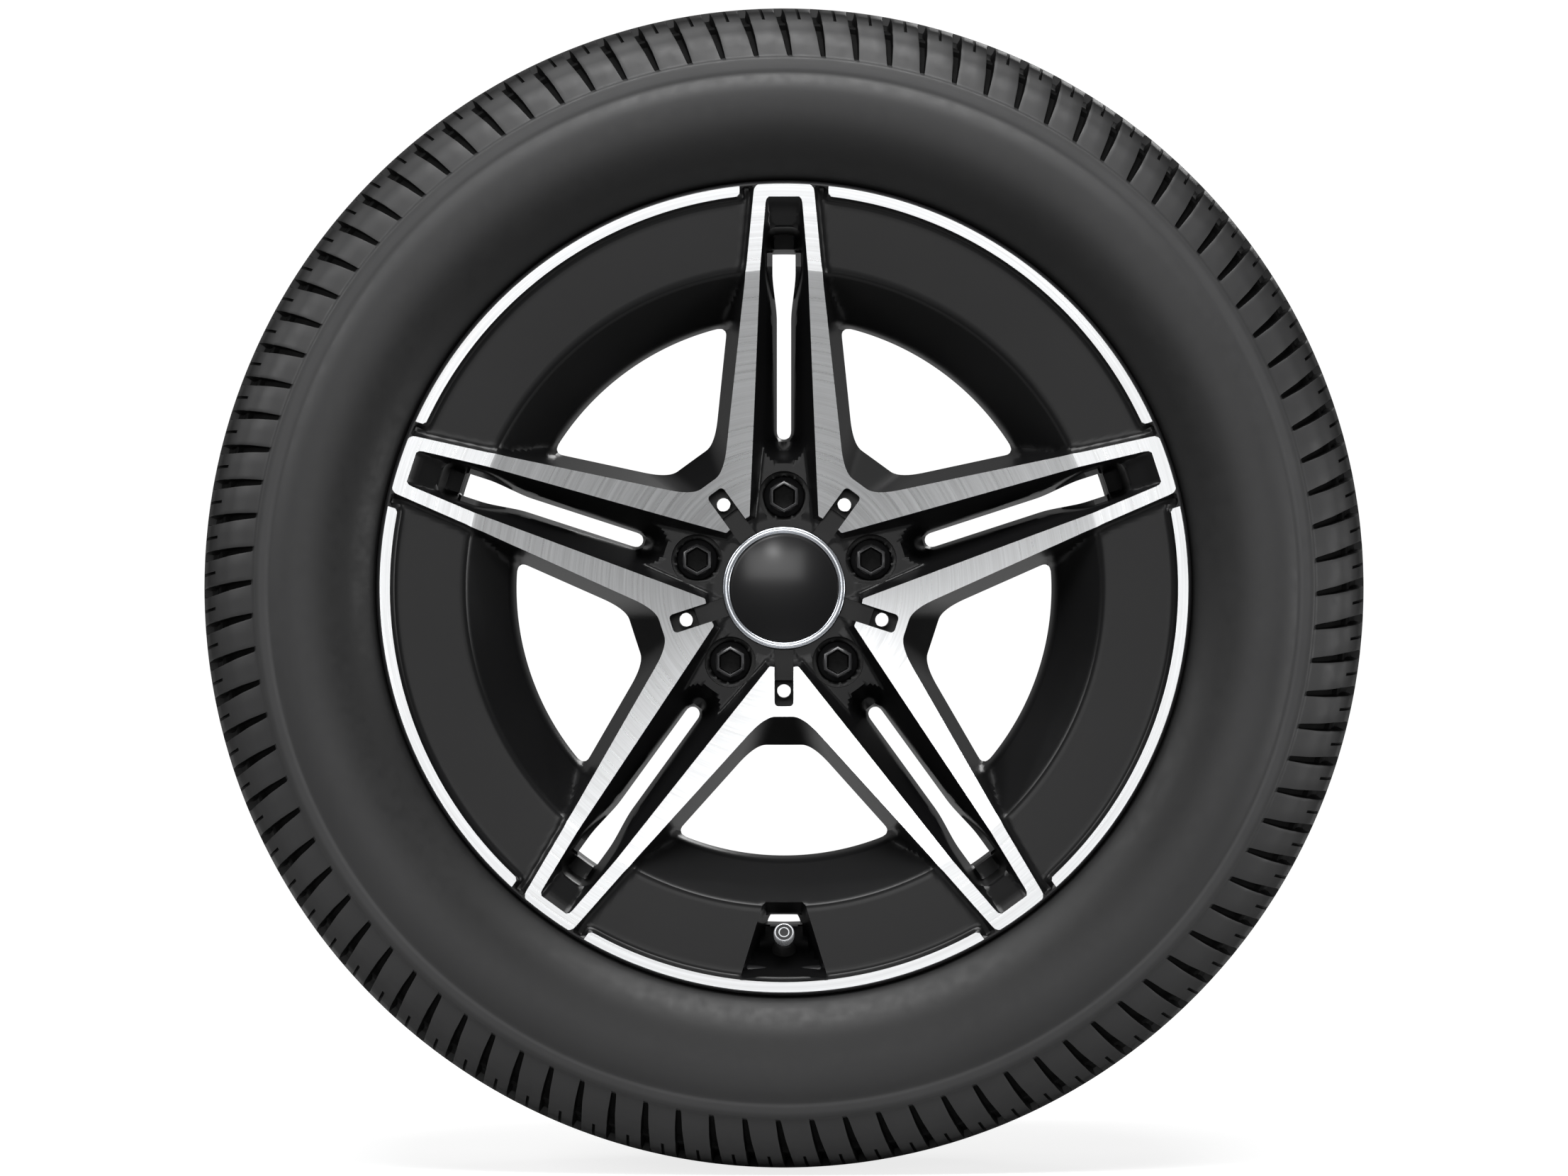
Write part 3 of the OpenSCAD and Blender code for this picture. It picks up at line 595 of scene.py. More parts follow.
@dataclass(frozen=True)
class PanelSizes:
    """Sizes of a painted panel and of the strip along the flange."""

    strip_foot: float = 2.3
    strip_slope: float = 1.32
    strip_end_v: float = 26.94
    strip_end_fillet: float = 3.4
    strip_fillet: float = 1.4
    crease_fillet: float = 1.6
    window_fall: float = 7.0
    window_fillet: float = 4.0
    relief_v: float = 30.0
    relief_r: float = 236.0
    relief_run: float = 2.5
    relief_depth: float = 0.6
    lip_root: float = 1.6
    lip_slope: float = 3.0


@dataclass(frozen=True)
class SlotSizes:
    """Sizes of the slot through a spoke; u runs along the spoke and v across it."""

    half_w: float = 4.35
    wide_half_w: float = 7.05
    widens_u: float = 163.5
    wide_u: float = 193.5
    end_zone_u: float = 205.0
    corner_u: float = 212.5
    corner_v: float = 3.55
    corner_r: float = 3.5
    draft: float = 0.12
    fillet: float = 3.6


@dataclass(frozen=True)
class TroughSizes:
    """Sizes of the trough between the two bars of a spoke, with its depths at places along it."""

    nose_u: float = 89.3
    nose_r: float = 25.06
    nose_fillet: float = 3.0
    low_u: float = 98.0
    low_depth: float = 29.0
    depths: tuple[tuple[float, float], ...] = ((194.0, 9.5), (218.0, 6.4), (238.7, 1.6))
    side_fillet: float = 2.2
    end_slope: float = 1.1
    end_fillet: float = 7.0
    edge_fillet: float = 0.4


@dataclass(frozen=True)
class ValveCutSizes:
    """Sizes of the opening at the valve; x runs outwards along the middle of the window."""

    front_x: tuple[float, ...] = (186.0, 190.3, 198.6, 203.0)
    front_over: float = 12.0
    step_z: float = 82.4
    low_z: float = 30.0
    leg_x: float = 202.0
    rear: tuple[tuple[float, float], ...] = (
        (216.5, 60.0), (218.0, 70.0), (223.5, 76.1), (228.5, 86.0), (237.6, 104.2), (240.5, 107.5))
    side_x: float = 194.6
    half_w: float = 13.6
    growth: float = 0.3
    draft: float = 0.17
    fillet: float = 7.0


@dataclass
class WheelFace:
    """The cast and turned face of the wheel, as a height over the plane of the rim."""

    s: RimSizes = field(default_factory=RimSizes)
    walls: WallSizes = WallSizes()
    panels: PanelSizes = PanelSizes()
    slots: SlotSizes = SlotSizes()
    trough: TroughSizes = TroughSizes()
    cut: ValveCutSizes = ValveCutSizes()
    half: float = math.radians(SPOKE_STEP / 2)
    rows: int = 92
    columns: int = 54
    crowding: float = 0.18
    contours: tuple[float, ...] = (0.0, 0.7, 1.6, 2.8, 4.5, 7.0, 10.5, 15.0, 20.5, 27.0, 34.0)
    sharp_angle: float = 30.0
    play: float = 0.01
    halvings: int = 22
    end_share: float = 0.002

    def wall(self, r: Array, u: Array, v: Array) -> Array:
        """Outer wall of a spoke, before turning.

        Args:
            r: Radius.
            u: Distance along the spoke.
            v: Distance across it.

        Returns:
            The height of the wall.
        """
        s, w = self.s, self.walls
        taper = np.where(u < s.crease_r, s.spoke_taper, s.frame_taper)
        opened = ramp(r, s.crease_r - w.blend_in, s.crease_r + w.blend_out)
        draft = s.spoke_draft + (s.frame_draft - s.spoke_draft) * opened
        height = s.face_z - (v - s.spoke_half_w - taper * (s.crease_r - u)) / draft
        end = s.turned(r) + (s.lip_r + w.end_play - r) * w.end_slope
        return np.where(r > w.end_from_r, smin(height, end, w.end_fillet), height)

    def panel(self, r: Array, v: Array, lip: bool = True) -> Array:
        """Painted panel between two spokes, with the strip along the flange.

        Args:
            r: Radius.
            v: Distance from the middle of the spoke.
            lip: Whether the root of the lip counts.

        Returns:
            The height of the panel.
        """
        s, p = self.s, self.panels
        panel_z = s.face_z - s.panel_drop
        foot_r = s.strip_in_r - p.strip_foot
        edge_z = s.turned_at(s.strip_in_r) - s.panel_drop
        slope = (edge_z - panel_z) / (foot_r - s.crease_r)
        outer = panel_z + (r - s.crease_r) * slope
        inner = panel_z - (s.crease_r - r) * s.panel_slope
        height = smin(outer, inner, p.crease_fillet)
        drop = panel_z - (s.crease_r - s.window_r) * s.panel_slope - (s.window_r - r) * p.window_fall
        height = smin(height, drop, p.window_fillet)
        strip = edge_z + (r - foot_r) * p.strip_slope
        strip_end = edge_z + s.panel_drop + (v - p.strip_end_v) / s.frame_draft
        strip = smin(strip, strip_end, p.strip_end_fillet)
        near = (v < p.relief_v) & (r > p.relief_r)
        relief = np.where(near, p.relief_depth, 0.0) * ramp(r, p.relief_r, p.relief_r + p.relief_run)
        height = smax(height - relief, strip, p.strip_fillet)
        return np.maximum(height, edge_z + (r - s.lip_r + p.lip_root) * p.lip_slope) if lip else height

    def slot_distance(self, u: Array, v: Array) -> Array:
        """Distance outside the slot in the middle of a spoke, at its narrow depth.

        Args:
            u: Distance along the spoke.
            v: Distance across it.

        Returns:
            The distance, below zero inside the slot.
        """
        t = self.slots
        width = t.half_w + (t.wide_half_w - t.half_w) * ramp(u, t.widens_u, t.wide_u)
        centre = self.s.slot_end_r + t.half_w
        near = np.hypot(np.minimum(u - centre, 0), v) - t.half_w
        far = np.hypot(np.maximum(u - t.corner_u, 0), np.maximum(v - t.corner_v, 0)) - t.corner_r
        return np.where(u < centre, near, np.where(u > t.end_zone_u, far, v - width))

    def pocket(self, r: Array, u: Array, v: Array) -> Array:
        """Trough between the two bars of a spoke, with its slot.

        Args:
            r: Radius.
            u: Distance along the spoke.
            v: Distance across it.

        Returns:
            The height of the trough.
        """
        s, t = self.s, self.trough
        low_z = s.turned_at(t.low_u) - t.low_depth
        places = [t.nose_u, t.low_u, *[at for at, _ in t.depths]]
        floor = np.interp(u, places, [low_z, low_z, *[s.turned_at(at) - depth for at, depth in t.depths]])
        rho = np.hypot(np.minimum(u - t.nose_u, 0), v)
        nose = smax(np.full_like(u, low_z), s.face_z + (rho - t.nose_r) / s.pocket_draft, t.nose_fillet)
        floor = np.where(u < t.nose_u, np.minimum(s.hub_floor_z, nose), floor)
        side = s.face_z + (v - s.pocket_half_w - s.pocket_growth * (s.crease_r - u)) / s.pocket_draft
        height = smax(floor, side, t.side_fillet)
        height = smax(height, s.turned(r) + (u - s.pocket_end_r) * t.end_slope, t.end_fillet)
        slot = s.back(r) + self.slot_distance(u, v) / self.slots.draft
        return smin(height, np.maximum(slot, s.leg_edge(r)), self.slots.fillet)

    def valve_cut(self, r: Array, x: Array, y: Array) -> Array:
        """Opening in the panel at the valve.

        Args:
            r: Radius.
            x: Distance along the middle of the window.
            y: Distance across it.

        Returns:
            The height of the opening, high outside it.
        """
        s, c = self.s, self.cut
        panel_z = s.face_z - s.panel_drop
        floor = np.interp(x, c.front_x, [panel_z + c.front_over, panel_z, c.step_z, c.low_z])
        rear_x, rear_z = zip(*c.rear)
        leg = s.leg_edge(r)
        leg = np.where(x > rear_x[0], np.maximum(leg, np.interp(x, rear_x, rear_z)), leg)
        floor = np.where(x > c.leg_x, leg, floor)
        side = panel_z + (y - c.half_w - c.growth * (x - c.side_x)) / c.draft
        return smax(floor, side, c.fillet)

    def window_xy(self, r: Array, a: Array) -> tuple[Array, Array]:
        """Distances along and across the middle of the window."""
        return r * np.cos(self.half - a), r * np.sin(self.half - a)

    def casting(self, r: Array, a: Array, valve: bool, lip: bool = True) -> Array:
        """Height of the casting before turning.

        Args:
            r: Radius.
            a: Angle from the middle of the spoke, from 0 to the middle of the window.
            valve: Whether the window is the one with the valve.
            lip: Whether the root of the lip counts.

        Returns:
            The height.
        """
        s, w = self.s, self.walls
        u, v = r * np.cos(a), r * np.sin(a)
        x, y = self.window_xy(r, a)
        root = w.hub_z + (w.hub_x - x) / w.hub_draft
        body = smax(self.wall(r, u, v), root, w.hub_fillet)
        places = [w.root_start_r, s.window_r, s.crease_r - w.blend_in, s.crease_r + w.root_out]
        height = smax(body, self.panel(r, v, lip), np.interp(r, places, w.root_fillets))
        height = smin(height, self.pocket(r, u, v), self.trough.edge_fillet)
        core = s.hub_floor_z + np.maximum(r - w.core_r, 0) * w.core_slope
        height = smin(height, core, w.core_fillet)
        return np.minimum(height, self.valve_cut(r, x, y)) if valve else height

    def depth(self, r: Array, a: Array, valve: bool, lip: bool = True) -> Array:
        """Depth of the casting under the turned face, below zero where the face is turned."""
        return self.s.turned(r) - self.casting(r, a, valve, lip)

    def opening(self, r: Array, a: Array, valve: bool) -> Array:
        """Height of the casting over the back of the disc, below zero in the openings."""
        return self.casting(r, a, valve) - self.s.back(r) - self.play

    def valve_edge(self, r: Array, a: Array) -> Array:
        """Height of the panel over the opening at the valve, zero along its edge."""
        return self.casting(r, a, False) - self.valve_cut(r, *self.window_xy(r, a))

    def bolt_hole(self, r: Array, a: Array, radius: float) -> Array:
        """Distance outside a round hole at the place of a bolt."""
        return np.hypot(r * np.cos(a) - self.s.bolt_circle_r, r * np.sin(a)) - radius

    def bolt_pocket(self, r: Array, a: Array) -> Array:
        """Distance outside the pocket of a bolt."""
        return self.bolt_hole(r, a, self.s.bolt_pocket_r)

    def channel(self, r: Array, a: Array) -> Array:
        """Distance outside the channel between two bolts."""
        s = self.s
        x, y = self.window_xy(r, a)
        corner = s.channel_corner_r
        along = np.maximum(x - s.channel_far_r + corner, 0)
        across = np.maximum(y - s.channel_half_w + corner, 0)
        return np.hypot(along, across) - corner

    def step(self, r: Array, a: Array) -> Array:
        """Distance beyond the step in the floor of the channel."""
        return self.window_xy(r, a)[0] - self.s.channel_step_r

    def dowel(self, r: Array, a: Array) -> Array:
        """Distance outside the through hole in the channel."""
        x, y = self.window_xy(r, a)
        return np.hypot(x - self.s.dowel_x, y) - self.s.dowel_r

    def split(self, bm: BMesh, level: Callable[[Array, Array], Array]) -> None:
        """Cuts the faces of a half sector along the line where a function is zero.

        Args:
            bm: Mesh with (radius, angle) in X and Y.
            level: The function of radius and angle.
        """
        verts = list(bm.verts)
        place = np.array([v.co[:2] for v in verts])
        value = level(place[:, 0], place[:, 1])
        value = np.where(np.abs(value) < 1e-9, 1e-9, value)
        bm.verts.index_update()
        edges = [e for e in bm.edges if value[e.verts[0].index] * value[e.verts[1].index] < 0]
        if not edges:
            return
        first = np.array([e.verts[0].index for e in edges])
        last = np.array([e.verts[1].index for e in edges])
        a, b = place[first], place[last]
        sign = np.sign(value[first])
        low, high = np.zeros(len(edges)), np.ones(len(edges))
        for _ in range(self.halvings):
            mid = (low + high) / 2
            at = a + (b - a) * mid[:, None]
            same = np.sign(level(at[:, 0], at[:, 1])) == sign
            low, high = np.where(same, mid, low), np.where(same, high, mid)
        cuts = []
        shares = np.clip((low + high) / 2, self.end_share, 1 - self.end_share)
        for edge, vert, share in zip(edges, [e.verts[0] for e in edges], shares):
            cuts.append(bmesh.utils.edge_split(edge, vert, float(share))[1])
        bmesh.ops.connect_verts(bm, verts=cuts, check_degenerate=False)

    def half_sector(self, valve: bool) -> BMesh:
        """Builds one half sector, from the middle of a spoke to the middle of a window.

        Args:
            valve: Whether the window is the one with the valve.

        Returns:
            The mesh in the face frame, with the spoke along X.
        """
        s = self.s
        bm = bmesh.new()
        bmesh.ops.create_grid(bm, x_segments=self.rows, y_segments=self.columns, size=0.5)
        for vert in bm.verts:
            part = vert.co.y + 0.5
            vert.co = (s.cap_seat_r + (s.lip_r - s.cap_seat_r) * (vert.co.x + 0.5),
                       self.half * ((1 - self.crowding) * part + self.crowding * part * part), 0)
        self.split(bm, lambda r, a: r - s.crease_r)
        self.split(bm, lambda r, a: self.opening(r, a, valve))
        self.split(bm, lambda r, a: self.depth(r, a, valve, lip=False))
        if valve:
            self.split(bm, self.valve_edge)
        for level in self.contours:
            self.split(bm, lambda r, a, at=level: self.depth(r, a, valve) - at)
        for line in (self.bolt_pocket, self.channel, self.step, self.dowel):
            self.split(bm, line)
        centres = np.array([f.calc_center_median()[:2] for f in bm.faces])
        r, a = centres[:, 0], centres[:, 1]
        gone = (self.opening(r, a, valve) < 0) | (self.dowel(r, a) < 0)
        turned = self.depth(r, a, valve, lip=False) < 0
        in_channel, inside_step = self.channel(r, a) < 0, self.step(r, a) < 0
        floors = ((self.bolt_pocket(r, a) < 0, self.bolt_floor),
                  (in_channel & inside_step, lambda vert: s.hub_floor_z - s.channel_step_depth),
                  (in_channel & ~inside_step, lambda vert: s.hub_inside_z))
        faces = list(bm.faces)
        groups = [[f for f, inside, out in zip(faces, where, gone) if inside and not out]
                  for where, _ in floors]
        for face, bright in zip(faces, turned):
            face.material_index = Finish.TURNED.value if bright else Finish.PAINT.value
        bmesh.ops.delete(bm, geom=[f for f, out in zip(faces, gone) if out], context="FACES")
        place = np.array([v.co[:2] for v in bm.verts])
        height = np.minimum(s.turned(place[:, 0]), self.casting(place[:, 0], place[:, 1], valve))
        height = np.maximum(height, s.back(place[:, 0]))
        for vert, z in zip(bm.verts, height):
            vert.co.z = float(z)
        for group, (_, floor) in zip(groups, floors):
            self.sink(bm, group, floor)
        to_plane(bm)
        return bm

    def bolt_floor(self, vert: bmesh.types.BMVert) -> float:
        """Height of the floor of a bolt pocket under a vertex in (radius, angle)."""
        s = self.s
        rho = math.hypot(vert.co.x * math.cos(vert.co.y) - s.bolt_circle_r, vert.co.x * math.sin(vert.co.y))
        return s.bolt_seat_z + s.bolt_floor_rise - max(0.0, s.bolt_cone_r - rho) * s.bolt_cone_slope

    def sink(self, bm: BMesh, faces: list, floor: Callable[[bmesh.types.BMVert], float]) -> None:
        """Extrudes a region straight down to its floor.

        Args:
            bm: Mesh of the half sector.
            faces: Faces of the region.
            floor: Height of the floor under a vertex.
        """
        if not faces:
            return
        result = bmesh.ops.extrude_face_region(bm, geom=faces)
        for item in result["geom"]:
            if isinstance(item, bmesh.types.BMVert):
                item.co.z = floor(item)
            if isinstance(item, bmesh.types.BMFace):
                item.material_index = Finish.PAINT.value
        left = [f for f in faces if f.is_valid]
        bmesh.ops.delete(bm, geom=left, context="FACES_ONLY")
        flat = [f for f in bm.faces if all(v.co.y < 1e-7 for v in f.verts)
                or all(v.co.y > self.half - 1e-7 for v in f.verts)]
        bmesh.ops.delete(bm, geom=flat, context="FACES_ONLY")
        for face in bm.faces:
            if abs(face.normal.z) < 1e-6:
                face.material_index = Finish.PAINT.value

    def build(self, looks: Looks) -> list[Object]:
        """Builds the whole face from its half sectors, in paint and turned metal.

        Args:
            looks: The materials by name.

        Returns:
            The one piece.
        """
        whole = sectors(self.half_sector(False), self.half_sector(True))
        bmesh.ops.recalc_face_normals(whole, faces=whole.faces)
        if sum(f.normal.z * f.calc_area() for f in whole.faces) < 0:
            bmesh.ops.reverse_faces(whole, faces=whole.faces)
        shade(whole, self.sharp_angle)
        for edge in whole.edges:
            if len({face.material_index for face in edge.link_faces}) == 2:
                edge.smooth = False
        piece = object_from(whole, "wheel_face", "root")
        dress(piece, "wheel_alloy", looks["paint"], looks["turned"])
        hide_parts("wheel")
        return [piece]


@dataclass
class WheelBack:
    """The back of the disc, with its pad, bolt holes and the hollow between two spokes."""

    face: WheelFace = field(default_factory=WheelFace)
    rows: int = 84
    columns: int = 40
    hole_r: float = 7.5
    pad_chamfer: float = 1.2
    cavity_r: float = 176.9
    cavity_wall: float = 3.0
    cavity_roof: float = 88.4
    cavity_start_z: float = 65.4
    cavity_slope: float = 1.217
    cavity_fillet: float = 6.0
    rim_z: float = 54.0
    rim_play: float = 0.6
    rim_fall: float = 40.0
    rim_fillet: float = 2.0
    edge_tolerance: float = 0.05

    def height(self, r: Array, a: Array, valve: bool) -> Array:
        """Height of the back.

        Args:
            r: Radius.
            a: Angle from the middle of the spoke.
            valve: Whether the window is the one with the valve.

        Returns:
            The height.
        """
        s, wall = self.face.s, self.cavity_wall
        u, v = r * np.cos(a), r * np.sin(a)
        flat = s.back(r)
        ceiling = np.minimum(self.cavity_roof, self.cavity_start_z + (r - self.cavity_r) * self.cavity_slope)
        inside = self.face.wall(r, u, v + wall) - 2 * wall
        low = self.rim_z + (s.well_in_r + self.rim_play - r) * self.rim_fall
        hollow = smin(smin(ceiling, inside, self.cavity_fillet), low, self.rim_fillet)
        return flat if valve else np.where(r > self.cavity_r, np.maximum(flat, hollow), flat)

    def bolt(self, r: Array, a: Array) -> Array:
        """Distance outside a bolt hole."""
        return self.face.bolt_hole(r, a, self.hole_r)

    def half_sector(self, valve: bool) -> BMesh:
        """Builds one half sector of the back.

        Args:
            valve: Whether the window is the one with the valve.

        Returns:
            The mesh in the face frame, with the spoke along X.
        """
        face, s = self.face, self.face.s
        bm = bmesh.new()
        bmesh.ops.create_grid(bm, x_segments=self.rows, y_segments=self.columns, size=0.5)
        for vert in bm.verts:
            vert.co = (s.bore_r + (s.well_in_r - s.bore_r) * (vert.co.x + 0.5),
                       face.half * (vert.co.y + 0.5), 0)
        face.split(bm, lambda r, a: face.opening(r, a, valve))
        face.split(bm, self.bolt)
        face.split(bm, face.dowel)
        for radius in (s.pad_r, s.pad_r + self.pad_chamfer, self.cavity_r):
            face.split(bm, lambda r, a, at=radius: r - at)
        centres = np.array([f.calc_center_median()[:2] for f in bm.faces])
        r, a = centres[:, 0], centres[:, 1]
        gone = (face.opening(r, a, valve) < 0) | (self.bolt(r, a) < 0) | (face.dowel(r, a) < 0)
        bmesh.ops.delete(bm, geom=[f for f, out in zip(list(bm.faces), gone) if out], context="FACES")
        place = np.array([v.co[:2] for v in bm.verts])
        for vert, z in zip(bm.verts, self.height(place[:, 0], place[:, 1], valve)):
            vert.co.z = float(z)
        rims = [e for e in bm.edges if len(e.link_faces) == 1 and all(self.on_hole(v) for v in e.verts)]
        walls = bmesh.ops.extrude_edge_only(bm, edges=rims)
        for item in walls["geom"]:
            if isinstance(item, bmesh.types.BMVert):
                item.co.z = s.hub_inside_z
        to_plane(bm)
        return bm

    def on_hole(self, vert: bmesh.types.BMVert) -> bool:
        """Whether a vertex in (radius, angle) lies on the edge of a round hole."""
        at = vert.co.x, vert.co.y
        return min(abs(float(self.bolt(*at))), abs(float(self.face.dowel(*at)))) < self.edge_tolerance

    def build(self, looks: Looks) -> list[Object]:
        """Builds the whole back from its half sectors.

        Args:
            looks: The materials by name.

        Returns:
            The one piece.
        """
        whole = sectors(self.half_sector(False), self.half_sector(True))
        bmesh.ops.recalc_face_normals(whole, faces=whole.faces)
        if sum(f.normal.z * f.calc_area() for f in whole.faces) > 0:
            bmesh.ops.reverse_faces(whole, faces=whole.faces)
        shade(whole, self.face.sharp_angle)
        piece = object_from(whole, "wheel_back", "root")
        dress(piece, "wheel_alloy", looks["barrel"])
        return [piece]


def sectors(plain: BMesh, with_valve: BMesh) -> BMesh:
    """Joins half sectors into the whole turn.

    Args:
        plain: Half sector with the spoke along X; freed here.
        with_valve: The same half, for the window that holds the valve; freed here.

    Returns:
        The whole mesh, with doubles merged.
    """
    whole = bmesh.new()
    for k in range(SPOKES):
        for flip in (False, True):
            # The valve stands in the window between spokes 2 and 3
            special = (k == 2 and not flip) or (k == 3 and flip)
            part = (with_valve if special else plain).copy()
            if flip:
                bmesh.ops.transform(part, matrix=Matrix.Scale(-1, 4, (0, 1, 0)), verts=part.verts)
                bmesh.ops.reverse_faces(part, faces=part.faces)
            turn = Matrix.Rotation(math.radians(FIRST_SPOKE + SPOKE_STEP * k), 4, "Z")
            bmesh.ops.transform(part, matrix=turn, verts=part.verts)
            add_mesh(whole, part)
    plain.free()
    with_valve.free()
    bmesh.ops.remove_doubles(whole, verts=whole.verts, dist=0.002)
    return whole


@dataclass
class Barrel:
    """The flanges, bead seats, drop well and inner barrel of the rim, and the bore of the hub."""

    s: RimSizes = field(default_factory=RimSizes)
    steps: int = 360
    bore_steps: int = 192
    sharp_angle: float = 25.0
    hump_z: float = 73.65
    ledge_r: float = 226.0
    barrel_wall: float = 4.5
    flange_round_r: float = 4.2
    seat_round_r: float = 6.2
    well_z: float = 14.0

    def leg_under(self, r: float) -> float:
        """Height of the tyre's side of the rim leg."""
        return float(self.s.leg(np.array(r))) - self.s.leg_wall

    def section(self) -> Profile:
        """Open section from the lip over the flanges to the back of the disc.

        Returns:
            Points of radius and height.
        """
        s, out, hump = self.s, self.s.rim_half_w, self.hump_z
        seat, ledge, inside = s.bead_seat_r, self.ledge_r, self.ledge_r - self.barrel_wall
        rim, root = self.flange_round_r, self.seat_round_r
        return [
            (s.lip_r, s.turned_at(s.lip_r)), (s.lip_r + 0.7, 105.5), (s.lip_r + 1.3, 104.8),
            (s.flange_r - 0.3, 103.25), (s.flange_r, 101.85), (s.flange_r, out + rim),
            *arc(s.flange_r - rim, out + rim, rim, -10, -60, 5),
            (seat + 9.5, out + 0.2), (seat + 6.5, out),
            *arc(seat + root, out - root, root, 90, 180, 8),
            (seat - 1.5, hump + 4.5), (seat - 0.3, hump + 1.5), (seat - 0.3, hump - 0.6),
            (ledge + 1.4, self.leg_under(ledge + 1.4)), (s.well_r + 1.5, self.leg_under(s.well_r + 1.5)),
            (s.well_r, self.leg_under(s.well_r) - 3), (s.well_r, self.well_z),
            (ledge, -10), (ledge, -hump + 5),
            (seat - 0.6, -hump + 1), (seat - 0.6, -hump - 1.5), (seat - 1.5, -hump - 4.5),
            *arc(seat + root, -out + root, root, 180, 270, 8),
            (seat + 9.5, -out - 0.2),
            *arc(s.flange_r - rim, -out - rim, rim, 60, -90, 10),
            (seat + 5, -out - 8), (seat - 1.5, -out - 4),
            (inside + 0.6, -hump - 3), (inside, -hump + 6), (inside, -12), (inside - 1.2, -9.5),
            (s.well_in_r + 1.2, 9.5), (s.well_in_r, 12), (s.well_in_r, 40),
            (s.well_in_r, float(s.back(np.array(s.well_in_r)))),
        ]

    def bore(self) -> BMesh:
        """Builds the wall of the hub bore and of the seat of the centre cap."""
        s = self.s
        bore = turned_bmesh([(s.cap_seat_r, s.hub_floor_z), (s.cap_seat_r, s.cap_seat_z),
                             (s.cap_bore_r, s.cap_seat_z), (s.cap_bore_r, s.cap_bore_low_z),
                             (s.bore_r, s.hub_inside_z), (s.bore_r, s.offset + s.bore_chamfer),
                             (s.bore_r, s.offset)], self.bore_steps, closed=False)
        bmesh.ops.reverse_faces(bore, faces=bore.faces)
        return bore

    def build(self, looks: Looks) -> list[Object]:
        """Builds the barrel and the hub bore.

        Args:
            looks: The materials by name.

        Returns:
            The two pieces.
        """
        pieces = []
        barrel = turned_bmesh(self.section(), self.steps, closed=False)
        for bm, name in ((barrel, "rim_barrel"), (self.bore(), "hub_bore")):
            shade(bm, self.sharp_angle)
            piece = object_from(bm, name, "root")
            dress(piece, "wheel_alloy", looks["barrel"])
            pieces.append(piece)
        return pieces


